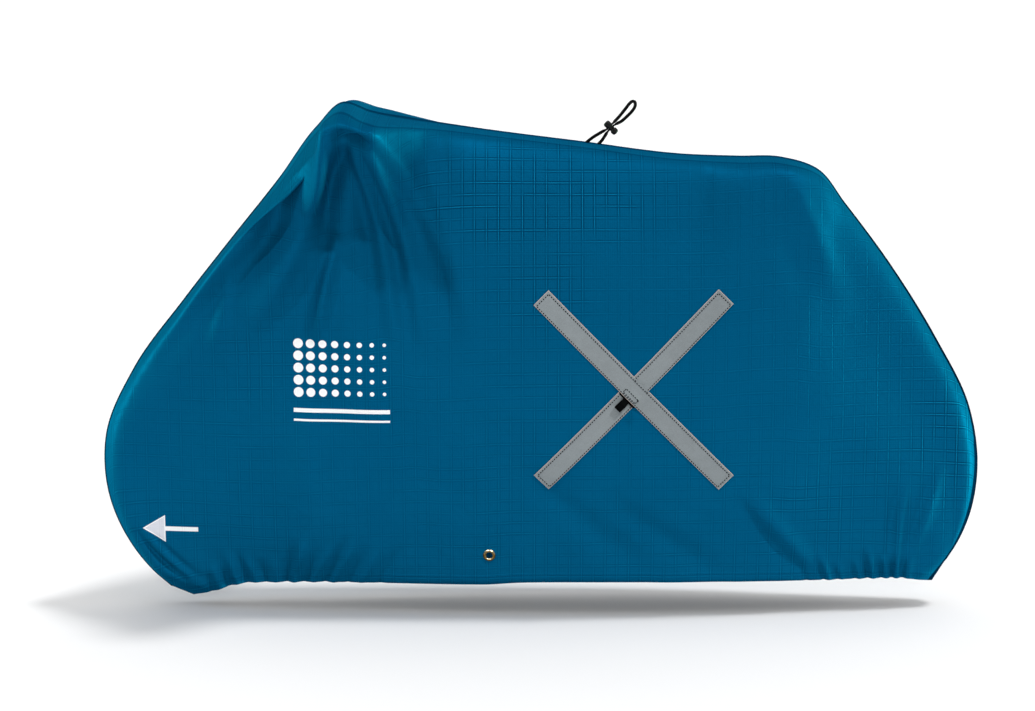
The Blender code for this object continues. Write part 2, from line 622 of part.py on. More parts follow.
# Turned sections (distance along the lock's axis, radius).
LOCK_BODY = (
    (-0.0156, 0.0000), (-0.0156, 0.0040), (-0.0148, 0.0060), (-0.0128, 0.0072),
    (-0.0080, 0.0075), (-0.0040, 0.0071), (-0.0010, 0.0059), (0.0020, 0.0055),
    (0.0050, 0.0056), (0.0052, 0.0052), (0.0052, 0.0000),
)
LOCK_BUTTON = (
    (0.0055, 0.0000), (0.0055, 0.0058), (0.0064, 0.0068), (0.0085, 0.0074),
    (0.0120, 0.0073), (0.0148, 0.0063), (0.0162, 0.0044), (0.0166, 0.0020),
    (0.0166, 0.0000),
)


def lock_matrix():
    """Local X along the cord, local Z along the lock's axis."""
    cord = Vector((math.cos(LOCK_LEAN), 0.0, math.sin(LOCK_LEAN)))
    axis = Vector((math.sin(LOCK_LEAN), 0.0, -math.cos(LOCK_LEAN)))
    side = axis.cross(cord)
    turn = Matrix((cord, side, axis)).transposed().to_4x4()
    return Matrix.Translation((LOCK_X, 0.0, LOCK_Z)) @ turn


def drawcord(name, ridge, material):
    """Round elastic on a smooth line through the route's points."""
    ends = []
    for x, above in CORD_ENDS:
        end = Vector((x, 0.0, float(np.interp(x, ridge[:, 0], ridge[:, 2])) + above))
        end = lock_matrix().inverted() @ end
        ends.append((end.x, end.z))
    route = np.array((ends[0], *CORD_ROUTE, ends[1]))
    lengths = np.hypot(*np.diff(route, axis=0).T)
    knots = np.concatenate(((0.0,), np.cumsum(lengths)))
    places = np.linspace(0.0, knots[-1], int(knots[-1] / CORD_STEP) + 1)
    along = spline(knots, route[:, 0], places, False)
    aside = spline(knots, route[:, 1], places, False)
    curve = bpy.data.curves.new(name, "CURVE")
    curve.dimensions = "3D"
    curve.bevel_depth = CORD_R
    curve.bevel_resolution = 3
    curve.use_fill_caps = True
    line = curve.splines.new("POLY")
    line.points.add(len(places) - 1)
    for point, u, v in zip(line.points, along, aside):
        point.co = (u, 0.0, v, 1.0)
    curve.materials.append(material)
    cord = bpy.data.objects.new(name, curve)
    bpy.context.scene.collection.objects.link(cord)
    cord.matrix_world = lock_matrix()
    return cord


def lock_piece(name, section, material):
    profile = [(radius, place) for place, radius in section]
    piece = finished(name, turned(profile, LOCK_SIDES), material, smooth=True)
    piece.matrix_world = lock_matrix()
    return piece


def slot_cutter(name):
    """Long round-ended bar that opens the lock for the two strands."""
    half_long, radius = LOCK_SLOT_LONG / 2.0, LOCK_SLOT_WIDE / 2.0
    model = bmesh.new()
    rim = []
    for end in (1.0, -1.0):
        for step in range(7):
            angle = math.pi * step / 6.0
            aside = end * radius * math.cos(angle)
            place = LOCK_SLOT_MIDDLE + end * (half_long - radius + radius * math.sin(angle))
            rim.append(model.verts.new((-0.02, aside, place)))
    face = model.faces.new(rim)
    grown = bmesh.ops.extrude_face_region(model, geom=[face])
    moved = [item for item in grown["geom"] if isinstance(item, bmesh.types.BMVert)]
    bmesh.ops.translate(model, verts=moved, vec=(0.04, 0.0, 0.0))
    bmesh.ops.recalc_face_normals(model, faces=model.faces)
    cutter = finished(name, model)
    cutter.matrix_world = lock_matrix()
    return cutter


# ------------------------------------------------------------------ the assembly
def main():
    for thing in list(bpy.data.objects):
        bpy.data.objects.remove(thing, do_unlink=True)

    near_cloth = new_material("ripstop_near", (0.003, 0.100, 0.215), 0.55)
    far_cloth = new_material("ripstop_far", (0.003, 0.095, 0.205), 0.55)
    upper_tape = new_material("reflective_tape_upper", (0.245, 0.275, 0.290), 0.45)
    lower_tape = new_material("reflective_tape_lower", (0.240, 0.270, 0.285), 0.45)
    webbing = new_material("webbing_black", (0.010, 0.010, 0.011), 0.80)
    brass = new_material("eyelet_brass", (0.560, 0.380, 0.140), 0.28, metallic=1.0)
    elastic = new_material("elastic_black", (0.008, 0.008, 0.009), 0.75)
    lock_black = new_material("lock_black", (0.012, 0.012, 0.014), 0.42)
    button_black = new_material("button_black", (0.016, 0.016, 0.018), 0.38)

    near_grid = folded_sheet(NEAR_CELLS, NEAR_ROWS, "near")
    far_grid = folded_sheet(FAR_CELLS, FAR_ROWS, "far")
    near = sheet_solid("side_panel_near", near_grid, False, near_cloth)
    far = sheet_solid("side_panel_far", far_grid, True, far_cloth)
    face = PanelFace(near)
    cloth_hole = hole_cutter("guide_cloth_hole", face)
    cut(near, cloth_hole)

    slot = slot_cutter("guide_lock_slot")
    body = lock_piece("cord_lock_body", LOCK_BODY, lock_black)
    cut(body, slot)
    pieces = [
        near,
        far,
        strip_solid("reflective_strip_lower", LOWER_STRIP, face, False, lower_tape),
        strip_solid("reflective_strip_upper", UPPER_STRIP, face, True, upper_tape),
        webbing_loop("webbing_loop", face, webbing),
        eyelet_ring("eyelet", face, brass),
        drawcord("drawcord", near_grid[near_grid[:, 0, 2] > RIDGE_LOW, 0], elastic),
        body,
        lock_piece("cord_lock_button", LOCK_BUTTON, button_black),
        cloth_hole,
        slot,
    ]
    frame = bpy.data.objects.new("cover_frame", None)
    bpy.context.scene.collection.objects.link(frame)
    frame.location = (-HELD_X, 0.0, -HELD_Z)
    for piece in pieces:
        piece.parent = frame


main()
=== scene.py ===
"""Looks of the fitted outdoor cover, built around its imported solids.

Metres, +Z up.  The tables give x from the middle of the picture and z above the
floor under the cover; SHIFT takes them into the frame's own coordinates.
"""
import math

import bmesh
import bpy
import numpy as np
from mathutils import Matrix, Vector
from mathutils.bvhtree import BVHTree
from mathutils.kdtree import KDTree


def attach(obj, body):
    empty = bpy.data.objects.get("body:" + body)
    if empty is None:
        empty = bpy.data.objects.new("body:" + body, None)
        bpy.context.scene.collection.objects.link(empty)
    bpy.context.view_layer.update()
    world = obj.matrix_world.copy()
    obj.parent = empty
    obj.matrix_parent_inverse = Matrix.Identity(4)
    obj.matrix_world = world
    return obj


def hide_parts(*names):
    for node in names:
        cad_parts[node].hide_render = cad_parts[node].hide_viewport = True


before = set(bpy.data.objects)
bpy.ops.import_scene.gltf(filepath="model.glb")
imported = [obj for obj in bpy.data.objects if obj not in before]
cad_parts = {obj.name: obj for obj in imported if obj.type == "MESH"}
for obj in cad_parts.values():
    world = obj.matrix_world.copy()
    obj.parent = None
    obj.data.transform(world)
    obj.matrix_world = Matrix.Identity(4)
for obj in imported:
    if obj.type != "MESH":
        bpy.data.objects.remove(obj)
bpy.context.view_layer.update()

SHIFT = Vector((0.400, 0.0, -1.030))
TURN = 2.0 * math.pi
OUT = Vector((0.0, -1.0, 0.0))  # away from the near side of the cover


def mm(*rows):
    """Table of rows given in millimetres, as metres."""
    return np.array(rows) / 1000.0


def linked(name, data):
    thing = bpy.data.objects.new(name, data)
    bpy.context.scene.collection.objects.link(thing)
    return thing


def aimed(name, data, elevation, azimuth):
    """Camera or light that looks down from a place in the sky, and the way back there.

    Azimuth 0 looks along +Y, and a negative one comes from the left.
    """
    up, turn = math.radians(elevation), math.radians(azimuth)
    back = Vector((math.sin(turn) * math.cos(up), -math.cos(turn) * math.cos(up), math.sin(up)))
    thing = linked(name, data)
    thing.rotation_euler = (-back).to_track_quat("-Z", "Y").to_euler()
    return thing, back


# ---- camera
AIM = Vector((-0.047, 0.0, 0.5335)) + SHIFT
CAMERA_AWAY = 6.0
CAMERA_UP = 9.0
CAMERA_LENS = 99.38


def add_camera():
    data = bpy.data.cameras.new("camera")
    data.sensor_width = 36.0
    data.lens = CAMERA_LENS
    camera, back = aimed("camera", data, CAMERA_UP, 0.0)
    camera.location = AIM + back * CAMERA_AWAY
    bpy.context.scene.camera = camera


# ---- shape of the sheets
CLOTH = 0.0012
SEAM_Y = 0.00015
NEAR_CELLS = 400
FAR_CELLS = 240
NEAR_ROWS = (12, 26, 24, 24, 22)
FAR_ROWS = (8, 18, 16, 16, 14)
PEAK_CLUSTER = 1.2
PEAK_CLUSTER_WIDTH = 0.20
PEAK_SAMPLES = 2000

# Cross-sections along the seam: its x, z, where the section meets the hem, depth of
# the round-over, and half-widths down the sheet from the crown to the hem.
CROWN = 4
SECTIONS = mm(
    (-782, 38, -736, 6, 0, 0, 0, 0, 0), (-822, 74, -695, 18, 24, 29, 31, 31, 27),
    (-862, 125, -645, 28, 30, 36, 38, 38, 36), (-911, 240, -590, 30, 32, 41, 46, 46, 43),
    (-914, 365, -525, 30, 34, 48, 60, 58, 49), (-852, 508, -455, 26, 44, 64, 80, 76, 56),
    (-745, 653, -400, 22, 84, 88, 102, 92, 62), (-643, 782, -350, 18, 144, 106, 118, 104, 68),
    (-541, 909, -300, 20, 204, 132, 134, 112, 74), (-462, 1016, -250, 30, 250, 150, 150, 118, 80),
    (-408, 1065, -205, 30, 292, 144, 151, 122, 84), (-350, 1047, -155, 24, 302, 136, 152, 125, 88),
    (-260, 1031, -100, 14, 150, 134, 152, 128, 92), (-130, 1011, -15, 16, 66, 132, 155, 130, 96),
    (80, 984, 120, 18, 50, 132, 152, 134, 100), (300, 957, 255, 18, 54, 118, 142, 130, 100),
    (410, 953, 330, 18, 78, 114, 134, 124, 95), (500, 951, 395, 22, 84, 108, 126, 116, 90),
    (578, 925, 450, 24, 66, 98, 117, 108, 83), (633, 857, 495, 24, 46, 86, 108, 101, 78),
    (736, 720, 550, 26, 38, 68, 90, 86, 70), (829, 573, 605, 28, 34, 56, 75, 74, 62),
    (905, 420, 665, 30, 33, 47, 60, 60, 52), (924, 290, 715, 30, 32, 40, 49, 49, 44),
    (909, 190, 760, 28, 31, 36, 42, 42, 38), (884, 130, 798, 18, 25, 31, 35, 35, 30),
    (863, 96, 834, 6, 0, 0, 0, 0, 0),
)
LEVEL_SHEET = (0.0, 0.14, 0.36, 0.58, 0.82, 1.0)
LEVEL_LINE = (0.0, None, 0.27, 0.52, 0.79, 1.0)  # None: the depth of the round-over
DROP_MOST = 0.2
HEM_EDGE = mm(
    # x, z
    (-736, 19), (-700, 30), (-640, 50), (-550, 57), (-480, 59), (-300, 61), (-120, 62), (-40, 67),
    (150, 69), (550, 66), (760, 64), (834, 50),
)
NEAR_FOLDS = mm(
    # x0, z0, x1, z1, x2, z2, half-width at start, at end, height
    # fan from the front peak down towards the back
    (-355, 1020, -262, 850, -180, 600, 16, 34, -11), (-330, 1020, -235, 850, -140, 620, 14, 26, 8),
    (-372, 1000, -312, 830, -268, 600, 12, 18, -9), (-360, 1010, -288, 830, -238, 600, 12, 18, 9),
    (-395, 990, -355, 830, -330, 590, 14, 18, -9), (-385, 990, -332, 830, -300, 600, 12, 18, 9),
    # from the front peak straight down
    (-428, 1022, -444, 935, -464, 862, 15, 16, 34), (-392, 985, -420, 880, -438, 795, 16, 26, -36),
    (-408, 1016, -378, 1010, -348, 996, 13, 10, -34), (-416, 795, -436, 698, -454, 600, 10, 16, 22),
    (-455, 1008, -512, 896, -565, 785, 20, 40, -44), (-482, 815, -536, 710, -590, 600, 20, 34, 17),
    (-515, 830, -606, 725, -690, 610, 18, 26, -16), (-632, 715, -652, 655, -672, 580, 12, 18, 10),
    (-560, 815, -690, 655, -812, 500, 14, 26, -6),
    # under the rear hump of the top
    (340, 930, 325, 840, 300, 740, 14, 34, -6), (425, 925, 415, 850, 400, 770, 18, 34, 5),
    (490, 900, 515, 800, 545, 690, 16, 34, -6), (530, 885, 575, 780, 620, 650, 14, 30, 6),
    # slack of the lower half
    (-20, 300, 95, 200, 215, 108, 26, 34, -7), (150, 245, 265, 160, 375, 85, 24, 30, -7),
    (410, 250, 474, 160, 536, 98, 11, 13, -8), (445, 250, 512, 168, 574, 100, 16, 18, 8),
    (-470, 430, -485, 340, -500, 240, 30, 40, 8),
    # cloth that turns in under the two ends
    (-846, 158, -800, 104, -748, 60, 6, 7, -7), (-834, 166, -788, 112, -736, 66, 6, 8, 5),
    (-816, 160, -772, 112, -722, 66, 6, 8, -4), (764, 260, 755, 190, 752, 120, 10, 8, 6),
    (745, 250, 736, 185, 733, 120, 10, 8, -5), (840, 300, 814, 210, 788, 125, 15, 11, 5),
    (812, 270, 793, 200, 772, 125, 11, 9, -4),
)
FAR_FOLDS = mm(
    (-350, 1010, -250, 850, -130, 650, 18, 45, -11), (-370, 1000, -310, 830, -250, 640, 16, 36, 10),
    (-405, 960, -395, 800, -380, 620, 16, 34, -10), (-440, 940, -490, 780, -540, 600, 16, 34, 10),
    (-465, 920, -590, 740, -710, 570, 16, 32, -9), (400, 920, 390, 820, 360, 700, 18, 36, -6),
    (520, 890, 570, 780, 620, 650, 16, 32, 6), (-120, 330, 10, 210, 140, 105, 28, 36, -8),
    (330, 270, 420, 170, 520, 90, 22, 30, -9),
)
NEAR_GATHERS = mm(
    # x, half-width, reach, lean, height
    (-694, 7, 50, -12, -6), (-676, 7, 70, -16, 5), (-655, 6, 60, -18, -6), (-638, 7, 100, -26, 7),
    (-616, 6, 85, -26, -6), (-598, 6, 70, -20, 4), (-578, 6, 60, -12, -5), (-556, 7, 70, -4, 4),
    (-534, 6, 110, 20, -7), (-518, 7, 120, 32, 8), (-497, 6, 90, 36, -6), (-476, 6, 100, 44, 5),
    (-452, 6, 120, 56, -7), (-434, 7, 110, 56, 6), (-405, 6, 90, 50, -5), (-375, 8, 110, 56, 4),
    (-335, 9, 100, 50, -4), (560, 6, 58, -26, -4), (597, 5, 65, -23, -6), (609, 6, 72, -23, 5),
    (627, 4.5, 43, -13, -4), (637, 5, 51, -13, 3), (664, 5, 46, -10, -5), (674, 5, 52, -10, 4),
    (692, 5, 80, -13, -7), (703, 6, 80, -13, 6), (721, 4.5, 58, -8, -6), (731, 5, 65, -8, 5),
    (743, 4.5, 65, 0, -7), (753, 5, 72, 0, 6), (765, 5, 65, 5, -6), (777, 6, 72, 8, 4),
)
FAR_GATHERS = mm(
    (-690, 18, 80, -8, 6), (-640, 18, 90, -6, -6), (-560, 20, 100, 10, 7), (-470, 22, 90, 14, -6),
    (600, 20, 90, -10, 7), (670, 18, 80, -6, -7), (740, 18, 80, 4, 7),
)
FOLDS = {"near": (NEAR_FOLDS, NEAR_GATHERS), "far": (FAR_FOLDS, FAR_GATHERS)}
SEAM_CALM = 0.10  # share of the sheet beside the seam without folds
SEAM_CALM_Y = 0.020
CURVE_STEPS = 16
FOLD_START, FOLD_SPAN, FOLD_BLUNT = 0.08, 0.84, 0.7  # how a fold fades out at its ends
GATHER_FADE = (0.35, 1.0)


def spline(knots, values, at, limited):
    """Smooth curve through values at knots; limited keeps it from overshooting."""
    knots, values, at = (np.asarray(v, dtype=float) for v in (knots, values, at))
    span = np.diff(knots)
    slope = np.diff(values) / span
    before, after = span[:-1], span[1:]
    inner = (slope[:-1] * after + slope[1:] * before) / (before + after)
    if limited:
        turning = slope[:-1] * slope[1:] <= 0.0
        steepest = 3.0 * np.minimum(np.abs(slope[:-1]), np.abs(slope[1:]))
        inner = np.where(turning, 0.0, np.sign(inner) * np.minimum(np.abs(inner), steepest))
    tangent = np.concatenate((slope[:1], inner, slope[-1:]))
    cell = np.clip(np.searchsorted(knots, at, side="right") - 1, 0, len(span) - 1)
    u = (at - knots[cell]) / span[cell]
    rise = u * u * (3.0 - 2.0 * u)
    sway = u * (1.0 - u) * span[cell] * ((1.0 - u) * tangent[cell] - u * tangent[cell + 1])
    return (1.0 - rise) * values[cell] + rise * values[cell + 1] + sway


def summed(steps):
    return np.concatenate(((0.0,), np.cumsum(steps)))


def travelled(points):
    """Distance along a line of flat points, from the first to each of them."""
    return summed(np.hypot(*np.diff(points, axis=0).T))


def soft_step(value, start, end):
    u = np.clip((value - start) / (end - start), 0.0, 1.0)
    return u * u * (3.0 - 2.0 * u)


def seam_stations(cells):
    """Places along the seam, closer together around the front peak."""
    knots = travelled(SECTIONS[:, :2])
    peak = knots[np.argmax(SECTIONS[:, CROWN])]
    fine = np.linspace(0.0, knots[-1], PEAK_SAMPLES)
    weight = 1.0 + PEAK_CLUSTER * np.exp(-((fine - peak) / PEAK_CLUSTER_WIDTH) ** 2)
    grown = summed((weight[1:] + weight[:-1]) / 2)
    return knots, np.interp(np.linspace(0.0, grown[-1], cells + 1), grown, fine)


def divided(knots, counts):
    """The knots, with the spans between them divided into counts of equal steps."""
    spans = [np.linspace(*ends, count, False) for *ends, count in zip(knots, knots[1:], counts)]
    return np.concatenate((*spans, knots[-1:]))


def base_sheet(cells, rows):
    """Grid of points (section, row, xyz) of the near side without its folds."""
    knots, stations = seam_stations(cells)
    places = divided(LEVEL_SHEET, rows)
    curves = [spline(knots, values, stations, k > 1) for k, values in enumerate(SECTIONS.T)]
    seam_x, seam_z, hem_x, drop, *widths = curves
    down_x, down_z = hem_x - seam_x, spline(*HEM_EDGE.T, hem_x, True) - seam_z
    drop /= np.hypot(down_x, down_z)
    grid = np.zeros((len(stations), len(places), 3))
    for i, side in enumerate(zip(*widths)):
        line = [min(drop[i], DROP_MOST) if part is None else part for part in LEVEL_LINE]
        along = spline(LEVEL_SHEET, line, places, True)
        grid[i, :, 0] = seam_x[i] + down_x[i] * along
        grid[i, :, 1] = -np.maximum(spline(LEVEL_SHEET, (0.0, *side), places, True), SEAM_Y)
        grid[i, :, 2] = seam_z[i] + down_z[i] * along
    return grid


def fold_relief(x, z, folds):
    """Height of all folds at side-view places x, z."""
    relief = np.zeros_like(x)
    u = np.linspace(0.0, 1.0, CURVE_STEPS)[:, None]
    for fold in folds:
        first, middle, last = fold[:6].reshape(3, 2)
        wide0, wide1, height = fold[6:]
        bend = 2.0 * middle - (first + last) / 2.0
        path = (1.0 - u) ** 2 * first + 2.0 * u * (1.0 - u) * bend + u * u * last
        nearest = np.full_like(x, np.inf)
        place = np.zeros_like(x)
        for k, (run_x, run_z) in enumerate(np.diff(path, axis=0)):
            dx, dz = x - path[k, 0], z - path[k, 1]
            share = np.clip((dx * run_x + dz * run_z) / (run_x**2 + run_z**2), 0.0, 1.0)
            away = np.hypot(dx - share * run_x, dz - share * run_z)
            closer = away < nearest
            nearest = np.where(closer, away, nearest)
            place = np.where(closer, (k + share) / (CURVE_STEPS - 1), place)
        strength = np.sin(np.pi * (FOLD_START + FOLD_SPAN * place)) ** FOLD_BLUNT
        relief += height * strength * np.exp(-((nearest / (wide0 + (wide1 - wide0) * place)) ** 2))
    return relief


def gather_relief(x, z, gathers):
    """Height of the puckers along the drawn-in hem."""
    above = z - np.interp(x, *HEM_EDGE.T)
    relief = np.zeros_like(x)
    for place, wide, reach, lean, height in gathers:
        up = np.clip(above / reach, 0.0, 1.0)
        away = (x - place - lean * up) / (wide * (1.0 + 0.5 * up))
        relief += height * (1.0 - soft_step(up, *GATHER_FADE)) * np.exp(-(away**2))
    return relief


def outward(grid):
    """Unit normals of the near side, pointing out of the cover."""
    normal = -np.cross(np.gradient(grid, axis=0), np.gradient(grid, axis=1))
    return normal / np.linalg.norm(normal, axis=2, keepdims=True)


def folded_sheet(cells, rows, side):
    """Outer face of one side panel, on the near side of the middle plane."""
    grid = base_sheet(cells, rows)
    x, z = grid[:, :, 0].copy(), grid[:, :, 2].copy()
    folds, gathers = FOLDS[side]
    calm = soft_step(divided(LEVEL_SHEET, rows), 0.0, SEAM_CALM)
    calm = calm * soft_step(-grid[:, :, 1], 0.0, SEAM_CALM_Y)
    grid += outward(grid) * (fold_relief(x, z, folds) * calm)[:, :, None]
    grid[:, :, 1] = np.minimum(grid[:, :, 1] - gather_relief(x, z, gathers) * calm, -SEAM_Y)
    return grid


# ---- node materials
def operator(operation, swapped=False):
    """Method of Value that adds one Math node."""
    def act(self, *others):
        values = (self, *others)
        return self.graph.math(operation, *(values[::-1] if swapped else values))
    return act


class Value:
    """A number in a material's node tree, with Math nodes for its arithmetic."""

    def __init__(self, graph, socket):
        self.graph, self.socket = graph, socket

    __add__ = __radd__ = operator("ADD")
    __mul__ = __rmul__ = operator("MULTIPLY")
    __sub__, __rsub__ = operator("SUBTRACT"), operator("SUBTRACT", swapped=True)
    __truediv__ = operator("DIVIDE")
    __abs__ = operator("ABSOLUTE")
    fract, floor, sqrt, sine = (operator(name) for name in ("FRACT", "FLOOR", "SQRT", "SINE"))
    above, below, most = (operator(name) for name in ("GREATER_THAN", "LESS_THAN", "MAXIMUM"))

    def step(self, start, end, low=0.0, high=1.0, shape="SMOOTHSTEP"):
        """Smooth ramp of the value from start to end."""
        inputs = enumerate((self, start, end, low, high))
        return Value(self.graph, self.graph.node("ShaderNodeMapRange", inputs, interpolation_type=shape)[0])

    def ramp(self, *ends):
        """Straight ramp of the value."""
        return self.step(*ends, shape="LINEAR")

    def wave(self, pitch):
        return (self * (TURN / pitch)).sine()


class Graph:
    """A Principled material and short ways to add nodes to it."""

    def __init__(self, name, roughness, specular=0.5, metallic=0.0):
        self.material = bpy.data.materials.new(name)
        self.material.use_nodes = True
        self.tree = self.material.node_tree
        self.shader = self.tree.nodes["Principled BSDF"].inputs
        looks = {"Roughness": roughness, "Specular IOR Level": specular, "Metallic": metallic}
        for key, value in looks.items():
            self.shader[key].default_value = value

    def feed(self, socket, value):
        """Link a number, colour or vector to a socket, or set it there."""
        value = value.socket if isinstance(value, Value) else value
        if isinstance(value, bpy.types.NodeSocket):
            self.tree.links.new(value, socket)
        elif value is not None:
            socket.default_value = value

    def node(self, kind, inputs=(), **settings):
        made = self.tree.nodes.new(kind)
        for key, value in settings.items():
            setattr(made, key, value)
        for key, value in dict(inputs).items():
            self.feed(made.inputs[key], value)
        return made.outputs

    def math(self, operation, *values):
        return Value(self, self.node("ShaderNodeMath", enumerate(values), operation=operation)[0])

    def vector(self, operation, *values):
        return self.node("ShaderNodeVectorMath", enumerate(values), operation=operation)

    def noise(self, vector, scale, detail=2.0, roughness=0.5):
        inputs = {"Vector": vector, "Scale": scale, "Detail": detail, "Roughness": roughness}
        return Value(self, self.node("ShaderNodeTexNoise", inputs)["Fac"])

    def parts(self, vector):
        return [Value(self, part) for part in self.node("ShaderNodeSeparateXYZ", {0: vector})]

    def attribute(self, name):
        """The three parts of a point attribute."""
        return self.parts(self.node("ShaderNodeAttribute", attribute_name=name)["Vector"])

    def place(self):
        """The parts x, z of a point in the frame, and the vector itself."""
        vector = self.node("ShaderNodeTexCoord")["Object"]
        x, y, z = self.parts(vector)
        return x, z, vector

    def blend(self, factor, *colours):
        colours = [(*colour, 1.0) if isinstance(colour, tuple) else colour for colour in colours]
        return self.node("ShaderNodeMix", zip((0, 6, 7), (factor, *colours)), data_type="RGBA")[2]

    def bump(self, height, distance, before=None):
        inputs = {"Height": height, "Distance": distance, "Strength": 1.0, "Normal": before}
        return self.node("ShaderNodeBump", inputs)["Normal"]

    def dress(self, colour, normal, roughness=None):
        for name, value in (("Base Color", colour), ("Normal", normal), ("Roughness", roughness)):
            self.feed(self.shader[name], value)
        return self.material

    def spun(self, relief, start, dark, light, deep):
        """Colour and relief of threads that stand up as relief does."""
        return self.dress(self.blend(relief.step(start, 1.0), dark, light), self.bump(relief, deep))


CLOTH_BLUE = (0.0004, 0.080, 0.178)
CLOTH_LIGHT = (0.0030, 0.165, 0.320)
CLOTH_DARK = (0.0002, 0.032, 0.080)
CLOTH_SHEEN = (0.10, 0.55, 0.85, 1.0)
# The lighter binding blue below is painted light, for binding high up on the cover.
BINDING_PAINTED_LIT = (0.0003, 0.042, 0.104)
BINDING_BLUE = (0.0002, 0.009, 0.026)
BINDING_DARK = (0.0001, 0.006, 0.018)
GRID_PITCH = 0.0246
GRID_LIGHT, GRID_DARK = (0.0017, 0.0007), (0.0015, 0.0005)  # where a line starts and is full
GRID_ASIDE = 0.0024  # from the light line to the dark ones beside it
THREAD_PITCH = 0.0041
HEM_DEEP = 0.0205
HEM_STITCH, HEM_PITCH = 0.0170, 0.0046
# Spots where the grid is painted stronger, as painted sheen: middle, reach, strength.
GRID_SHEEN_SPOTS = (
    ((0.400, -0.14, -0.150), (0.42, 1.0, 0.17), 1.0),
    ((1.250, -0.05, -0.660), (0.14, 1.0, 0.26), 0.8),
    ((0.960, -0.10, -0.800), (0.17, 1.0, 0.13), 0.5),
    ((0.400, -0.14, -0.330), (0.20, 1.0, 0.20), 0.6),
)


def line_pair(value):
    """Light and dark lines of the ripstop grid across one cloth coordinate."""
    away = abs((value / GRID_PITCH).fract() - 0.5) * GRID_PITCH
    return away.step(*GRID_LIGHT), abs(away - GRID_ASIDE).step(*GRID_DARK)


def cloth_material(name, marks):
    graph = Graph(name, roughness=0.50, specular=0.0, metallic=0.25)
    graph.shader["Specular Tint"].default_value = CLOTH_SHEEN
    s, t, seam = graph.attribute("weave")
    x, z, where = graph.place()

    woven = []
    for value, stretch in ((s, (1.0, 1.0, 0.3)), (t, (0.3, 1.0, 1.0))):
        mapped = graph.node("ShaderNodeMapping", {"Vector": where, "Scale": stretch})[0]
        strength = graph.noise(mapped, 34.0, 2.0).ramp(0.36, 0.60, 0.25, 1.0)
        woven.append([line * strength for line in line_pair(value)])
    light, dark = (one.most(other) for one, other in zip(*woven))
    patch = graph.noise(where, 3.2, 1.0).ramp(0.40, 0.62, 0.16, 0.34)
    # Painted sheen: the grid is made stronger in these spots.
    for middle, reach, strength in GRID_SHEEN_SPOTS:
        spot = graph.vector("DIVIDE", graph.vector("SUBTRACT", where, middle)[0], reach)[0]
        away = Value(graph, graph.vector("LENGTH", spot)["Value"])
        patch = patch.most(away.step(1.0, 0.2, 0.0, strength))
    fine = s.wave(THREAD_PITCH) + t.wave(THREAD_PITCH)

    shade = (light * 0.75 - dark * 1.10 + fine * 0.05) * patch
    shade += (graph.noise(where, 9.0, 3.0) - 0.5) * 0.16
    # Painted light and shade: the cloth is made lighter towards the bottom and darker towards the top, to
    # even out the light.
    shade += z.ramp(-0.95, -0.15, 0.08, -0.11)
    colour = graph.blend(shade.ramp(0.0, 1.0), CLOTH_BLUE, CLOTH_LIGHT)
    colour = graph.blend(shade.ramp(0.0, -1.0), colour, CLOTH_DARK)

    dash = (s / HEM_PITCH).fract()
    hem_thread = abs(t - HEM_STITCH).step(0.0008, 0.0003) * dash.step(0.05, 0.15) * dash.step(0.75, 0.65)
    colour = graph.blend(hem_thread * 0.6, colour, CLOTH_DARK)

    # Painted highlight as a light band beside the seam of the top, then a stitch line and the dark piping.
    high = z.step(-0.18, -0.12)
    colour = graph.blend(seam.step(0.0090, 0.0078) * high * 0.22, colour, CLOTH_LIGHT)
    colour = graph.blend(abs(seam - 0.0092).step(0.0014, 0.0005) * high * 0.6, colour, BINDING_PAINTED_LIT)
    # The piping is painted wider towards the rear and its lower end, as painted shade along the edge, and
    # lighter high up, as painted light.
    width = x.ramp(0.90, 1.20, 0.0016, 0.0044) + x.step(1.10, 1.20) * z.ramp(-0.60, -0.82, 0.0, 0.0065)
    piping_and_edge_shade = seam.step(width + 0.0006, width - 0.0006)
    colour = graph.blend(piping_and_edge_shade, colour, graph.blend(z.step(-0.16, -0.09), BINDING_BLUE, BINDING_PAINTED_LIT))
    if marks:
        colour = printed(graph, x, z, colour)

    normal = graph.bump(graph.noise(where, 17.0, 4.0, 0.55), 0.0022)
    normal = graph.bump(light - dark * 0.6 + fine * 0.16, 0.00022, normal)
    hem = hem_thread * 0.5 + t.step(HEM_DEEP + 0.0008, HEM_DEEP)
    return graph.dress(colour, graph.bump(hem, 0.0007, normal))


ARROW_TIP = (-0.836, 0.172)
ARROW_LONG = 0.048
ARROW_HALF = 0.0295
ARROW_EDGE = 0.0022
BAR_START, BAR_LONG = ARROW_LONG - 0.001, 0.070
BAR_HALF = 0.0048
DOT_PITCH = 0.0255
DOT_CORNER = (-0.511, 0.591)
DOT_COLUMNS, DOT_ROWS = 8, 5
DOT_LARGE, DOT_SMALL = 0.0102, 0.0036
RULES = ((0.4385, 0.0042), (0.4180, 0.0022))  # height above the floor, half-width
RULE_INSET = 0.002
PRINT_WHITE = (0.86, 0.87, 0.88)
PRINT_GREY = (0.66, 0.68, 0.74)
PRINT_SOFT = 0.0004


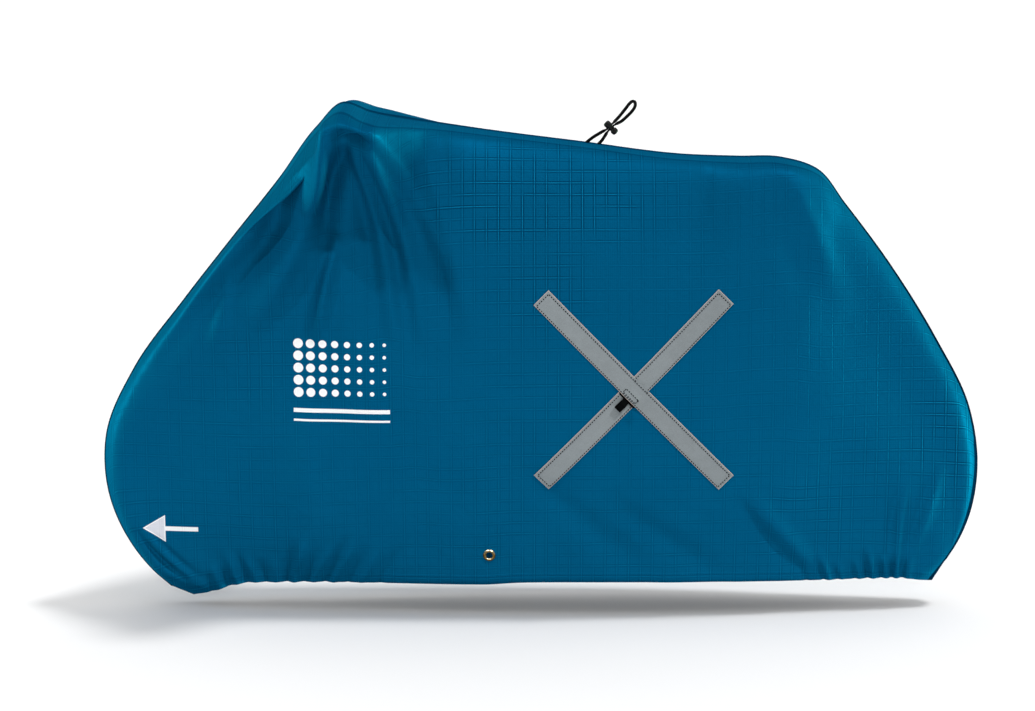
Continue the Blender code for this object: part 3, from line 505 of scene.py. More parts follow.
def printed(graph, x, z, colour):
    """Plain arrow that points to the front, and a field of dots over two rules."""
    def inside(value):
        return value.step(-PRINT_SOFT, PRINT_SOFT)

    def between(value, end):
        return value.above(0.0) * value.below(float(end))

    run, off = x - (ARROW_TIP[0] + SHIFT.x), abs(z - (ARROW_TIP[1] + SHIFT.z))
    slope = ARROW_HALF / ARROW_LONG
    flank = (run * slope - off) * (1.0 / math.hypot(slope, 1.0))
    base = ARROW_LONG - run
    arrow = inside(flank) * inside(base)
    core = inside(flank - ARROW_EDGE) * inside(base - ARROW_EDGE)
    shaft = inside(BAR_HALF - off) * inside(run - BAR_START) * inside(ARROW_LONG + BAR_LONG - run)
    colour = graph.blend(arrow.most(shaft), colour, PRINT_WHITE)
    colour = graph.blend(core, colour, PRINT_GREY)

    left, top = DOT_CORNER[0] + SHIFT.x, DOT_CORNER[1] + SHIFT.z
    right = left + DOT_COLUMNS * DOT_PITCH
    across, down = (x - left) / DOT_PITCH, (top - z) / DOT_PITCH
    dx, dz = across.fract() - 0.5, down.fract() - 0.5
    radius = (dx * dx + dz * dz).sqrt() * DOT_PITCH
    shrink = (DOT_LARGE - DOT_SMALL) / (DOT_COLUMNS - 1)
    marks = inside(across.floor() * -shrink + DOT_LARGE - radius)
    marks *= between(across, DOT_COLUMNS) * between(down, DOT_ROWS)
    block = inside(x - (left + RULE_INSET)) * inside(right - RULE_INSET - x)
    for height, half in RULES:
        marks = marks.most(inside(half - abs(z - (height + SHIFT.z))) * block)
    return graph.blend(marks, colour, PRINT_WHITE)


# ---- mesh helpers
def add_object(name, mesh, material):
    mesh.materials.append(material)
    mesh.shade_smooth()
    thing = linked(name, mesh)
    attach(thing, "root")
    return thing


def set_attribute(mesh, name, values):
    attribute = mesh.attributes.new(name, "FLOAT_VECTOR", "POINT")
    attribute.data.foreach_set("vector", np.asarray(values, dtype=np.float32).ravel())


def grid_faces(rows, columns, flipped=False):
    faces = []
    for i in range(rows - 1):
        for a in range(i * columns, (i + 1) * columns - 1):
            face = (a, a + 1, a + columns + 1, a + columns)
            faces.append(face[::-1] if flipped else face)
    return faces


def tree_of(points):
    tree = KDTree(len(points))
    for index, point in enumerate(points):
        tree.insert(point, index)
    tree.balance()
    return tree


PIPED_BELOW = 0.35  # height below which the seam distance is the true one
OUTLINE_STEP = 0.0005
SMOOTHING_TURNS = 160


def weave_places(grid):
    """Cloth coordinates of every point: x, length down to the hem, distance from the seam."""
    x, z = grid[:, :, 0], grid[:, :, 2]
    steps = np.hypot(np.diff(grid[:, :, 1], axis=1), np.diff(z, axis=1))
    above = np.zeros(grid.shape[:2])
    above[:, :-1] = np.cumsum(steps[:, ::-1], axis=1)[:, ::-1]
    for turn in range(SMOOTHING_TURNS):
        above[1:-1] = (above[:-2] + 2.0 * above[1:-1] + above[2:]) / 4.0
    inward = np.hypot(x - x[:, :1], z - z[:, :1])
    line = np.concatenate((grid[0, ::-1], grid[1:, 0], grid[-1, 1:]))[:, (0, 2)]
    knots = travelled(line)
    places = np.arange(0.0, knots[-1], OUTLINE_STEP)
    tree = tree_of([(*at, 0.0) for at in zip(*(np.interp(places, knots, part) for part in line.T))])
    for k, m in zip(*np.nonzero(z < PIPED_BELOW)):
        inward[k, m] = tree.find((x[k, m], z[k, m], 0.0))[2]
    return np.stack((x, above, inward), axis=2)


def add_panel(name, grid, mirrored, material):
    """A side panel: its outer face in the frame's coordinates, thickened inwards."""
    points = grid * ((1.0, -1.0, 1.0) if mirrored else (1.0, 1.0, 1.0)) + np.array(SHIFT)
    mesh = bpy.data.meshes.new(name)
    mesh.from_pydata(points.reshape(-1, 3).tolist(), [], grid_faces(*grid.shape[:2], flipped=mirrored))
    set_attribute(mesh, "weave", weave_places(grid))
    panel = add_object(name, mesh, material)
    applied(panel, "SOLIDIFY", thickness=CLOTH, offset=-1.0)
    return panel


def applied(thing, kind, **settings):
    """Apply one modifier to a thing and keep the result as its plain mesh."""
    modifier = thing.modifiers.new("made", kind)
    for key, value in settings.items():
        setattr(modifier, key, value)
    graph = bpy.context.evaluated_depsgraph_get()
    solid = bpy.data.meshes.new_from_object(thing.evaluated_get(graph))
    thing.modifiers.clear()
    old = thing.data
    if kind == "BOOLEAN" and "weave" in old.attributes:
        carry_weave(old, solid)
    thing.data = solid
    bpy.data.meshes.remove(old)
    thing.data.name = thing.name


def carry_weave(old, new):
    """Give every point of the new mesh the cloth coordinates of the nearest old point."""
    tree = tree_of([vertex.co for vertex in old.vertices])
    values = old.attributes["weave"].data
    carried = [tuple(values[tree.find(vertex.co)[1]].vector) for vertex in new.vertices]
    new.attributes.remove(new.attributes["weave"])
    set_attribute(new, "weave", carried)


class PanelFace:
    """The outer face of the near panel, met by looking along +Y."""

    def __init__(self, grid):
        points = [tuple(point) for point in grid.reshape(-1, 3)]
        self.tree = BVHTree.FromPolygons(points, grid_faces(*grid.shape[:2]))

    def depth(self, x, z):
        return self.tree.ray_cast(Vector((x, -1.0, z)), -OUT)[0].y

    def proudest(self, x, z, reach):
        """The outermost depth within a small square, for pieces that lie over it."""
        shifts = (-reach, 0.0, reach)
        return min(self.depth(x + dx, z + dz) for dx in shifts for dz in shifts)


def plain_mesh(name, model, matrix):
    """Mesh of a bmesh at its place in the frame."""
    bmesh.ops.recalc_face_normals(model, faces=model.faces)
    model.transform(Matrix.Translation(SHIFT) @ matrix)
    mesh = bpy.data.meshes.new(name)
    model.to_mesh(mesh)
    model.free()
    return mesh


def finished(name, model, material, slot, matrix=Matrix(), angle=40.0, **attributes):
    """Turn a bmesh into a named piece of the cover."""
    thing = add_object(name, plain_mesh(name, model, matrix), material)
    thing.data.set_sharp_from_angle(angle=math.radians(angle))
    for key, values in attributes.items():
        set_attribute(thing.data, key, values)
    return thing


def cut_out(thing, name, model, matrix):
    """Take a bmesh's shape out of the thing."""
    cutter = linked(name, plain_mesh(name, model, matrix))
    applied(thing, "BOOLEAN", operation="DIFFERENCE", solver="EXACT", object=cutter)
    bpy.data.objects.remove(cutter, do_unlink=True)


def bridge(model, rings, capped=True):
    """Faces between closed rings of points, and over the first and the last ring."""
    for ring, following in zip(rings, rings[1:]):
        for k in range(len(ring)):
            m = (k + 1) % len(ring)
            model.faces.new((ring[k], ring[m], following[m], following[k]))
    if capped:
        model.faces.new(rings[0])
        model.faces.new(rings[-1])


def round_ring(model, centre, side, radius, sides):
    """Points around a centre, from the side direction towards the near side."""
    ring = []
    for step in range(sides):
        turn = TURN * step / sides
        ring.append(model.verts.new(centre + (side * math.cos(turn) + OUT * math.sin(turn)) * radius))
    return ring


def turned(profile, sides):
    """bmesh of a closed profile (radius, height) turned about Z."""
    model = bmesh.new()
    rings = []
    for step in range(sides):
        angle = TURN * step / sides
        rings.append([model.verts.new((r * math.cos(angle), r * math.sin(angle), h)) for r, h in profile])
    bridge(model, rings + rings[:1], capped=False)
    bmesh.ops.remove_doubles(model, verts=model.verts, dist=1e-6)
    return model


def smooth_profile(points, per_span):
    """The same open profile with more points on a smooth curve through them."""
    points = np.array(points)
    knots = travelled(points)
    places = divided(knots, [per_span] * (len(knots) - 1))
    return list(zip(*(spline(knots, part, places, True) for part in points.T)))


# ---- seam binding
BINDING = (
    # across, outwards: half of the rounded section, from the middle to the side
    (0.0, 0.0011), (0.0009, 0.0009), (0.0016, 0.0003), (0.0018, -0.0006), (0.0012, -0.0014),
)
BINDING_RIBS = 0.0016


def seam_binding(ridge):
    """Narrow folded tape that closes the seam between the two panels."""
    section = BINDING + tuple((-y, h) for y, h in reversed(BINDING[1:]))
    line = ridge[:, (0, 2)]
    tangent = np.gradient(line, axis=0)
    tangent /= np.linalg.norm(tangent, axis=1, keepdims=True)
    model = bmesh.new()
    rings = []
    for (x, z), (tx, tz) in zip(line, tangent):
        rings.append([model.verts.new((x - tz * h, y, z + tx * h)) for y, h in section])
    bridge(model, rings)
    graph = Graph("binding_blue", roughness=0.8, specular=0.0)
    x, z, where = graph.place()
    ribs = (x + z).wave(BINDING_RIBS)
    colour = graph.blend(ribs.step(-1.0, 1.0), BINDING_DARK, BINDING_BLUE)
    # Painted light: the binding is made lighter high up on the cover.
    colour = graph.blend(z.step(-0.16, -0.09), colour, BINDING_PAINTED_LIT)
    finished("seam_binding", model, graph.dress(colour, graph.bump(ribs, 0.00015)), "ripstop_near")


# ---- reflective cross
STRIP_THICK = 0.0012
STRIP_WIDE = 0.043
STRIP_HALF = STRIP_WIDE / 2.0
STRIP_LIFT = 0.0006
GAP = 0.0003
# x, z of the two ends of each strip
UPPER_STRIP = ((0.001, 0.676), (0.385, 0.287))
LOWER_STRIP = ((0.002, 0.289), (0.381, 0.675))
CROSS_RAMP = (0.024, 0.046)
CROSS_LIFT = 0.0007
TAB_WIDE = 0.015
TAB_ROOT, TAB_TIP = 0.012, 0.051
TAB_SHIFT = 0.0006
TAB_PROUD = 0.0125
TAB_WEB = 0.0012
# distance from a strip's edge, share of its thickness
EDGE_SHAPE = ((0.0, 0.10), (0.0002, 0.70), (0.0006, 1.04), (0.0013, 1.12), (0.0019, 1.00))
STRIP_STEPS = 130
STRIP_LANES = 12
# Stitch rows: distances from the strip's two long edges and from its ends.
STITCH_HIGH, STITCH_LOW, STITCH_END = 0.0055, 0.0026, 0.0060
STITCH_PITCH, STITCH_LONG = 0.0058, 0.0038
STITCH_R = 0.00105
STITCH_SUNK = 0.65
STITCH_SHAPE = ((-0.5, 0.2), (-0.36, 0.8), (0.0, 1.0), (0.36, 0.8), (0.5, 0.2))
STITCH_HIDDEN = (-0.0235, 0.0205)  # part of the lower strip under the upper one
BOX_STITCHES = ((-0.017, 0.007), (0.018, 0.007), (0.018, 0.016), (-0.017, 0.016))
SHORT_ROW = (-0.0205, -0.0140)
KNOT, KNOT_R = (0.018, 0.0078), 0.0016
STRIP_REACH, WEB_REACH = 0.003, 0.004  # squares of the panel that pieces lie over


class StripFrame:
    """Side-view coordinates of a strip: along it, and across it towards the loop."""

    def __init__(self, ends, over_other, face):
        start, end = (np.array(place) for place in ends)
        self.length = math.hypot(*(end - start))
        self.along = (end - start) / self.length
        self.across = np.array((self.along[1], -self.along[0]))
        self.middle = (start + end) / 2.0
        self.over_other = over_other
        self.face = face

    def over_panel(self, a, b, height, reach=WEB_REACH):
        x, z = self.middle + a * self.along + b * self.across
        return Vector((x, self.face.proudest(x, z, reach) - height, z))

    def lift(self, a, b):
        if not self.over_other:
            return STRIP_LIFT
        climb = 1.0 - float(soft_step(abs(a), *CROSS_RAMP))
        off_middle = abs(a - TAB_SHIFT) - TAB_WIDE / 2.0
        side = 1.0 - float(soft_step(off_middle, 0.003, 0.016))
        inner = float(soft_step(b, -0.004, TAB_ROOT - 0.0015))
        return STRIP_LIFT + (STRIP_THICK + CROSS_LIFT) * climb + 2.0 * (TAB_WEB + GAP) * side * inner

    def edge(self, a, b):
        return min(self.length / 2.0 - abs(a), STRIP_HALF - abs(b))

    def point(self, a, b, height):
        return self.over_panel(a, b, self.lift(a, b) + height, STRIP_REACH)

    def top(self, a, b):
        return STRIP_THICK * float(np.interp(self.edge(a, b), *zip(*EDGE_SHAPE)))


def lane_places(width, steps):
    """Places from one edge to the other, close together at the rounded edges."""
    *rim, flat = (distance - width / 2.0 for distance, share in EDGE_SHAPE)
    return [*rim, *np.linspace(flat, -flat, steps + 1), *(-place for place in reversed(rim))]


def strip_piece(name, frame, material, slot):
    """Strip of tape that follows the panel, with rounded, slightly raised edges."""
    a_places = lane_places(frame.length, STRIP_STEPS)
    b_places = lane_places(STRIP_WIDE, STRIP_LANES)
    model = bmesh.new()
    lower, upper, tape = [], [], []
    for skin in (lower, upper):
        for a in a_places:
            heights = [frame.top(a, b) if skin is upper else 0.0 for b in b_places]
            skin.append([model.verts.new(frame.point(a, b, h)) for b, h in zip(b_places, heights)])
            tape += [(a, b, frame.edge(a, b)) for b in b_places]
    last_a, last_b = len(a_places) - 1, len(b_places) - 1
    for i in range(last_a):
        for j in range(last_b):
            for skin in (lower, upper):
                model.faces.new((skin[i][j], skin[i + 1][j], skin[i + 1][j + 1], skin[i][j + 1]))
    rim = [(i, 0) for i in range(last_a)] + [(last_a, j) for j in range(last_b)]
    rim += [(i, last_b) for i in range(last_a, 0, -1)] + [(0, j) for j in range(last_b, 0, -1)]
    bridge(model, [[skin[i][j] for i, j in rim] for skin in (lower, upper)], capped=False)
    return finished(name, model, material, slot, tape=tape)


def add_stitch(model, frame, start, end):
    """One thread between two places on the strip, thick in the middle, sunk at its ends."""
    run = (frame.point(*end, 0.0) - frame.point(*start, 0.0)).normalized()
    side = run.cross(OUT).normalized()
    rings = []
    for place, thick in STITCH_SHAPE:
        a, b = start + (end - start) * (place + 0.5)
        centre = frame.point(a, b, frame.top(a, b) + STITCH_R * (thick - STITCH_SUNK))
        rings.append(round_ring(model, centre, side, STITCH_R * thick, 6))
    bridge(model, rings)


def stitch_row(model, frame, start, end, skipped=None):
    start, end = np.array(start), np.array(end)
    length = math.hypot(*(end - start))
    count = max(1, round(length / STITCH_PITCH))
    for k in range(count):
        middle, half = (k + 0.5) / count, STITCH_LONG / length / 2.0
        first, last = (start + (end - start) * share for share in (middle - half, middle + half))
        if not skipped or not skipped[0] < first[0] < skipped[1]:
            add_stitch(model, frame, first, last)


def strip_stitches(name, frame, material, slot):
    model = bmesh.new()
    end = frame.length / 2.0 - STITCH_END
    high, low = STITCH_HIGH - STRIP_HALF, STRIP_HALF - STITCH_LOW
    for b in (high, low):
        stitch_row(model, frame, (-end, b), (end, b), None if frame.over_other else STITCH_HIDDEN)
    for a in (-end, end):
        stitch_row(model, frame, (a, high), (a, low))
    if frame.over_other:
        for start, stop in zip(BOX_STITCHES, BOX_STITCHES[1:] + BOX_STITCHES[:1]):
            stitch_row(model, frame, start, stop)
        for a in (high, low):
            stitch_row(model, frame, *((a, b) for b in SHORT_ROW))
        knot = bmesh.ops.create_uvsphere(model, u_segments=12, v_segments=8, radius=KNOT_R)
        bmesh.ops.translate(model, verts=knot["verts"], vec=frame.point(*KNOT, STRIP_THICK + 0.0002))
    finished(name, model, material, slot, angle=60.0)


def tab_outline(inset):
    """Section of the webbing loop: distance from the middle of the X, height off the strip."""
    low, high = inset, TAB_PROUD - inset
    tip, twice = TAB_TIP - inset, 2.0 * TAB_WEB
    if inset:
        root = ((TAB_ROOT + 0.013, TAB_WEB), (TAB_ROOT + 0.0145, twice - 0.0002))
    else:
        root = ((TAB_ROOT, 0.0), (TAB_ROOT, twice), (TAB_ROOT + 0.0115, twice + 0.0004))
    top = ((TAB_ROOT + 0.0165, high * 0.62), (TAB_ROOT + 0.021, high * 0.94), (TAB_TIP - 0.012, high))
    nose = ((tip - 0.004, high - 0.0012), (tip - 0.0008, high - 0.0040), (tip, TAB_PROUD * 0.45))
    sole = ((tip - 0.0008, low + 0.0022), (tip - 0.0035, low))
    return root + top + nose + sole


# place across the webbing, share of its thickness there
WEB_LANES = (
    (-0.5, 0.30), (-0.485, 0.75), (-0.45, 1.0), (-0.30, 1.0), (-0.1, 1.0),
    (0.1, 1.0), (0.30, 1.0), (0.45, 1.0), (0.485, 0.75), (0.5, 0.30),
)
WEB_EDGE = 0.0005
# Painted shadow: thin black sheet under the edge of the upper strip.
SHADOW_SHEET = (
    # along, proud of the strip
    (-0.0210, 0.0016), (-0.0180, 0.0034), (0.0100, 0.0046), (0.0190, 0.0052), (0.0235, 0.0030),
)
SHADOW_SHEET_FROM = 0.0130
SHADOW_SHEET_LOW, SHADOW_SHEET_HIGH = 0.0002, 0.0010


def webbing_loop(frame, material):
    """Webbing folded into a loop, its two ends sewn flat under the upper strip."""
    base = STRIP_LIFT + STRIP_THICK + GAP
    model = bmesh.new()
    weave, sheets = [], []
    for inset, sunk in ((0.0, WEB_EDGE), (TAB_WEB, -WEB_EDGE)):
        outline = smooth_profile(tab_outline(inset), 4)
        sheet = []
        for lane, thick in WEB_LANES:
            a, sink = TAB_SHIFT + TAB_WIDE * lane, (1.0 - thick) * sunk
            sheet.append([model.verts.new(frame.over_panel(a, b, base + h - sink)) for b, h in outline])
            weave += [(TAB_WIDE * lane, along, 0.0) for along in travelled(outline)]
        bridge(model, sheet, capped=False)
        sheets.append(sheet)
    for end in (0, -1):
        rings = [sheet[end] for sheet in sheets]
        edges = [model.edges.get(pair) for ring in rings for pair in zip(ring, ring[1:] + ring[:1])]
        bmesh.ops.triangle_fill(model, use_beauty=True, use_dissolve=False, edges=edges)
    return finished("loop_of_webbing", model, material, "webbing_black", weave=weave)


def add_shadow_sheet(frame, material):
    """Painted shadow: a thin black sheet in the webbing's material, seen as a narrow dark edge below the
    upper strip.
    """
    model = bmesh.new()
    rings = []
    for a, proud in SHADOW_SHEET:
        start, end = SHADOW_SHEET_FROM, STRIP_HALF + proud
        low, high = (STRIP_LIFT + STRIP_THICK + height for height in (SHADOW_SHEET_LOW, SHADOW_SHEET_HIGH))
        corners = ((start, low), (end, low), (end, high), (start, high))
        rings.append([model.verts.new(frame.over_panel(a, *corner)) for corner in corners])
    bridge(model, rings)
    base = finished("black_shadow_sheet", model, material, "webbing_black")
    set_attribute(base.data, "weave", [(point.co.x, point.co.z, 0.0) for point in base.data.vertices])


TAPE_EDGE = (0.50, 0.40, 0.34)
TAPE_GREY = np.array((0.224, 0.252, 0.264))
TAPE_SHADES = (0.88, 1.10)
# Painted shade along each strip, to even out the light: its brightness at the first end and at the last.
TAPE_PAINTED_SHADE = {"upper": (0.94, 0.93), "lower": (1.05, 0.84)}  # from the first end to the last
THREAD_DARK, THREAD_LIGHT = (0.004, 0.004, 0.006), (0.018, 0.019, 0.023)
WEBBING_DARK, WEBBING_LIGHT = (0.0006, 0.0006, 0.0008), (0.0040, 0.0040, 0.0046)
WEFT_PITCH, THREAD_TWIST, WEBBING_RIBS, WEBBING_CORDS = 0.0011, 0.0008, 0.0019, 0.0021


def tape_material(name, painted_shade, over_other):
    graph = Graph(name, roughness=0.5, specular=0.1)
    along, across, edge = graph.attribute("tape")
    where = graph.place()[2]
    shade = (graph.noise(where, 38.0, 3.0) - 0.5) * 0.30 + graph.noise(where, 900.0, 2.0)
    greys = graph.blend(shade.step(0.30, 0.72), *(tuple(TAPE_GREY * share) for share in TAPE_SHADES))
    # Painted shade: each strip's brightness changes from one end to the other.
    colour = graph.blend(along.ramp(-0.26, 0.26, *painted_shade), (0.0, 0.0, 0.0), greys)
    selvedge = edge.step(0.0013, 0.0008)
    if over_other:
        selvedge *= 1.0 - abs(along).step(0.0220, 0.0205) * across.step(-0.015, -0.018)
    colour = graph.blend(selvedge * 0.75, colour, TAPE_EDGE)
    beads = graph.node("ShaderNodeTexVoronoi", {"Vector": where, "Scale": 1500.0})["Distance"]
    normal = graph.bump(graph.noise(where, 60.0, 2.0), 0.0005)
    return graph.dress(colour, graph.bump(along.wave(WEFT_PITCH) * 0.25 + beads, 0.00008, normal))


def thread_material():
    graph = Graph("thread_dark", roughness=0.8, specular=0.0)
    x, z, where = graph.place()
    return graph.spun((x - z).wave(THREAD_TWIST), -1.0, THREAD_DARK, THREAD_LIGHT, 0.00012)


def webbing_material():
    graph = Graph("webbing_weave", roughness=0.85, specular=0.02)
    across, along = graph.attribute("weave")[:2]
    relief = along.wave(WEBBING_RIBS) * 0.6 + across.wave(WEBBING_CORDS) * 0.4
    return graph.spun(relief, -1.0, WEBBING_DARK, WEBBING_LIGHT, 0.00035)


def add_cross(face):
    frames = {"lower": StripFrame(LOWER_STRIP, False, face), "upper": StripFrame(UPPER_STRIP, True, face)}
    thread = thread_material()
    for which, frame in frames.items():
        slot = "reflective_tape_" + which
        material = tape_material("tape_" + which, TAPE_PAINTED_SHADE[which], frame.over_other)
        strip = strip_piece("tape_" + which, frame, material, slot)
        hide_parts("reflective_strip_" + which)
        strip_stitches("stitches_" + which, frame, thread, slot)
    webbing = webbing_material()
    loop = webbing_loop(frames["upper"], webbing)
    # Painted shadow under the edge of the upper strip.
    add_shadow_sheet(frames["upper"], webbing)
    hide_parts("webbing_loop")


# ---- eyelet
EYELET_X, EYELET_Z = -0.106, 0.128
EYELET_RIM_R = 0.013
EYELET_SIDES = 72
CLOTH_HOLE_R = 0.0086
REST_R = (0.0165, 0.0320)  # end of the flat cloth, start of the untouched cloth
REST_DEEP = 0.0005
EYELET_FRONT = mm(
    # radius, height over the cloth
    (7, -2.2), (7, 0.4), (7.3, 1.6), (8.1, 2.6), (9.3, 3.1), (10.6, 2.9), (11.8, 2), (12.7, 0.9),
    (13, 0.1), (12.9, -0.2),
)
EYELET_BACK = mm(
    (9.4, -0.2), (9, -0.6), (9, -1.6), (9.4, -2), (11.8, -2.1), (12.1, -2.4), (11.6, -2.9),
    (8.4, -3.1), (7.4, -2.9),
)
# The light brass colour is a painted reflection on brass that faces up.
BRASS_DARK, BRASS_WORN, BRASS_PAINTED_LIGHT = (0.13, 0.075, 0.016), (0.20, 0.125, 0.03), (0.98, 0.80, 0.50)


def flatten_rest(grid):
    """Press the cloth flat around the eyelet."""
    frame = eyelet_frame(PanelFace(grid))
    inward = frame.inverted()
    away = np.hypot(grid[:, :, 0] - EYELET_X, grid[:, :, 2] - EYELET_Z)
    for i, j in zip(*np.nonzero(away < REST_R[1])):
        local = inward @ Vector(grid[i, j])
        share = float(soft_step(math.hypot(local.x, local.y), *REST_R))
        local.z = local.z * share - REST_DEEP * (1.0 - share)
        grid[i, j] = frame @ local


def eyelet_frame(face):
    """Turn and place that set a ring's axis square to the cloth at the eyelet."""
    reach = EYELET_RIM_R
    depth = face.depth(EYELET_X, EYELET_Z)
    rise_x = face.depth(EYELET_X + reach, EYELET_Z) - face.depth(EYELET_X - reach, EYELET_Z)
    rise_z = face.depth(EYELET_X, EYELET_Z + reach) - face.depth(EYELET_X, EYELET_Z - reach)
    out = Vector((rise_x, -2.0 * reach, rise_z)).normalized()
    turn = out.to_track_quat("Z", "Y").to_matrix().to_4x4()
    return Matrix.Translation((EYELET_X, depth, EYELET_Z)) @ turn


def brass_material():
    graph = Graph("brass_polished", roughness=0.36, metallic=1.0)
    where = graph.place()[2]
    worn = graph.noise(where, 420.0, 3.0)
    # Painted reflection: brass that faces up is painted light and brass that faces down is painted dark,
    # with random wear in the dark tone.
    facing = graph.parts(graph.node("ShaderNodeNewGeometry")["Normal"])[2]
    painted_shade_brass = graph.blend(worn.step(0.35, 0.70), BRASS_DARK, BRASS_WORN)
    colour = graph.blend(facing.step(-0.15, 0.62), painted_shade_brass, BRASS_PAINTED_LIGHT)
    normal = graph.bump(graph.noise(where, 800.0, 2.0), 0.00004)
    return graph.dress(colour, normal, worn.step(0.3, 0.75, 0.32, 0.42))


def add_eyelet(face, panel):
    frame = eyelet_frame(face)
    hole, radius = bmesh.new(), CLOTH_HOLE_R
    bmesh.ops.create_cone(hole, cap_ends=True, segments=48, radius1=radius, radius2=radius, depth=0.03)
    cut_out(panel, "hole", hole, frame)
    profile = smooth_profile(EYELET_FRONT, 2) + smooth_profile(EYELET_BACK, 2)
    model = turned(profile, EYELET_SIDES)
    ring = finished("eyelet_ring", model, brass_material(), "eyelet_brass", frame, 50.0)
    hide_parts("eyelet")


# ---- drawcord and its lock
CORD_R = 0.0021
CORD_LOOSE_R = 0.0034
CORD_SQUEEZED = (0.010, 0.016)  # from the lock's middle: squeezed, free
CORD_SIDES = 12
CORD_STEP = 0.0025
BRAID_PITCH, BRAID_STRANDS = 0.0042, 4.0
CORD_DARK, CORD_LIGHT = (0.0005, 0.0005, 0.0007), (0.0050, 0.0050, 0.0058)
LOCK_X, LOCK_Z = 0.1465, 1.0120
COS, SIN = math.cos(math.radians(45.0)), math.sin(math.radians(45.0))
# The lock's own frame: local X along the cord, local Z along the lock's axis.
LOCK_FRAME = Matrix(((COS, 0, SIN, LOCK_X), (0, -1, 0, 0), (SIN, 0, -COS, LOCK_Z), (0, 0, 0, 1)))
LOCK_SLOT_MIDDLE = -0.0012
LOCK_SLOT_LONG, LOCK_SLOT_WIDE = 0.0102, 0.0052
LOCK_SLOT_ENDS = (-0.02, 0.02)
LOCK_SLOT_STEPS = 12
LOCK_SIDES = 64
# Centre line of the cord in the lock's own frame: along the cord, and along the
# lock's axis towards its button.  Its two ends stand on the ridge.
CORD_ROUTE = mm(
    (-42, -12.2), (-27.9, -9), (-17, -6.1), (-9, -3.8), (9, -3.6), (28, -4), (48, -6.2),
    (62.5, -7.9), (69.5, -7.2), (72.4, -3.6), (70.8, 0.8), (65.5, 4.6), (57.5, 6.6), (41, 7.2),
    (25, 6.2), (9, 1.4), (-9, 1.2), (-22.8, 4), (-31.5, 5.8),
)
CORD_ENDS = ((0.0955, -0.0012), (0.1205, -0.0012))  # x, height above the ridge
# Turned sections (distance along the lock's axis, radius).
LOCK_BODY = mm(
    (-15.6, 0), (-15.6, 3), (-15.4, 4.4), (-14.6, 6.1), (-13.4, 6.9), (-11.8, 7.3), (-8.6, 7.5),
    (-7, 7.4), (-4, 7.1), (-2, 6.3), (-1, 5.9), (2, 5.5), (4.6, 5.6), (5, 5.5), (5.2, 5), (5.2, 0),
)
LOCK_BUTTON = mm(
    (5.5, 0), (5.5, 5.4), (5.7, 6), (6.4, 6.8), (7.4, 7.2), (8.5, 7.4), (9.6, 7.2), (10.4, 7.4),
    (12, 7.3), (13.4, 7), (14.8, 6.3), (15.8, 5.1), (16.4, 3.6), (16.6, 2), (16.4, 0),
)
LOCK_PARTS = (
    # piece, section, node, slot, dark and light colour
    ("lock_barrel", LOCK_BODY, "cord_lock_body", "lock_black",
     (0.0006, 0.0006, 0.0012), (0.0020, 0.0020, 0.0034)),
    ("lock_button", LOCK_BUTTON, "cord_lock_button", "button_black",
     (0.0006, 0.0006, 0.0008), (0.0024, 0.0021, 0.0021)),
)


def cord_line(ridge):
    """Points of the cord's centre line, and its length."""
    inward = LOCK_FRAME.inverted()
    ends = []
    for x, above in CORD_ENDS:
        end = inward @ Vector((x, 0.0, np.interp(x, ridge[:, 0], ridge[:, 2]) + above))
        ends.append((end.x, end.z))
    route = np.array((ends[0], *CORD_ROUTE, ends[1]))
    knots = travelled(route)
    places = np.linspace(0.0, knots[-1], int(knots[-1] / CORD_STEP) + 1)
    along, aside = (spline(knots, part, places, False) for part in route.T)
    return [LOCK_FRAME @ Vector((u, 0.0, v)) for u, v in zip(along, aside)], float(knots[-1])


def cord_tube(line):
    """Round tube along a line that stays in one upright plane."""
    model = bmesh.new()
    rings, braid = [], []
    inward = LOCK_FRAME.inverted()
    lengths = summed([(after - before).length for before, after in zip(line, line[1:])])
    for k, (point, length) in enumerate(zip(line, lengths)):
        run = (line[min(k + 1, len(line) - 1)] - line[max(k - 1, 0)]).normalized()
        free = float(soft_step(abs((inward @ point).x), *CORD_SQUEEZED))
        radius = CORD_R + (CORD_LOOSE_R - CORD_R) * free
        rings.append(round_ring(model, point, run.cross(OUT).normalized(), radius, CORD_SIDES))
        for step in range(CORD_SIDES):
            turn = TURN * step / CORD_SIDES
            braid.append((length, CORD_R * math.sin(turn), CORD_R * math.cos(turn)))
    bridge(model, rings)
    return finished("drawcord_braid", model, cord_material(), "elastic_black", angle=70.0, braid=braid)


def cord_material():
    graph = Graph("elastic_braid", roughness=0.75, specular=0.05)
    along, out, side = graph.attribute("braid")
    turn = graph.math("ARCTAN2", out, side)
    strands = (turn * BRAID_STRANDS, turn * -BRAID_STRANDS)
    left, right = ((along * (TURN / BRAID_PITCH) + strand).sine() for strand in strands)
    return graph.spun(left.most(right), -0.4, CORD_DARK, CORD_LIGHT, 0.00028)


def plastic_material(name, dark, light):
    graph = Graph(name, roughness=0.34, specular=0.16)
    where = graph.place()[2]
    worn = graph.noise(where, 240.0, 3.0)
    normal = graph.bump(graph.noise(where, 1400.0, 2.0), 0.00006)
    colour = graph.blend(worn.step(0.4, 0.7), dark, light)
    return graph.dress(colour, normal, worn.step(0.3, 0.7, 0.28, 0.48))


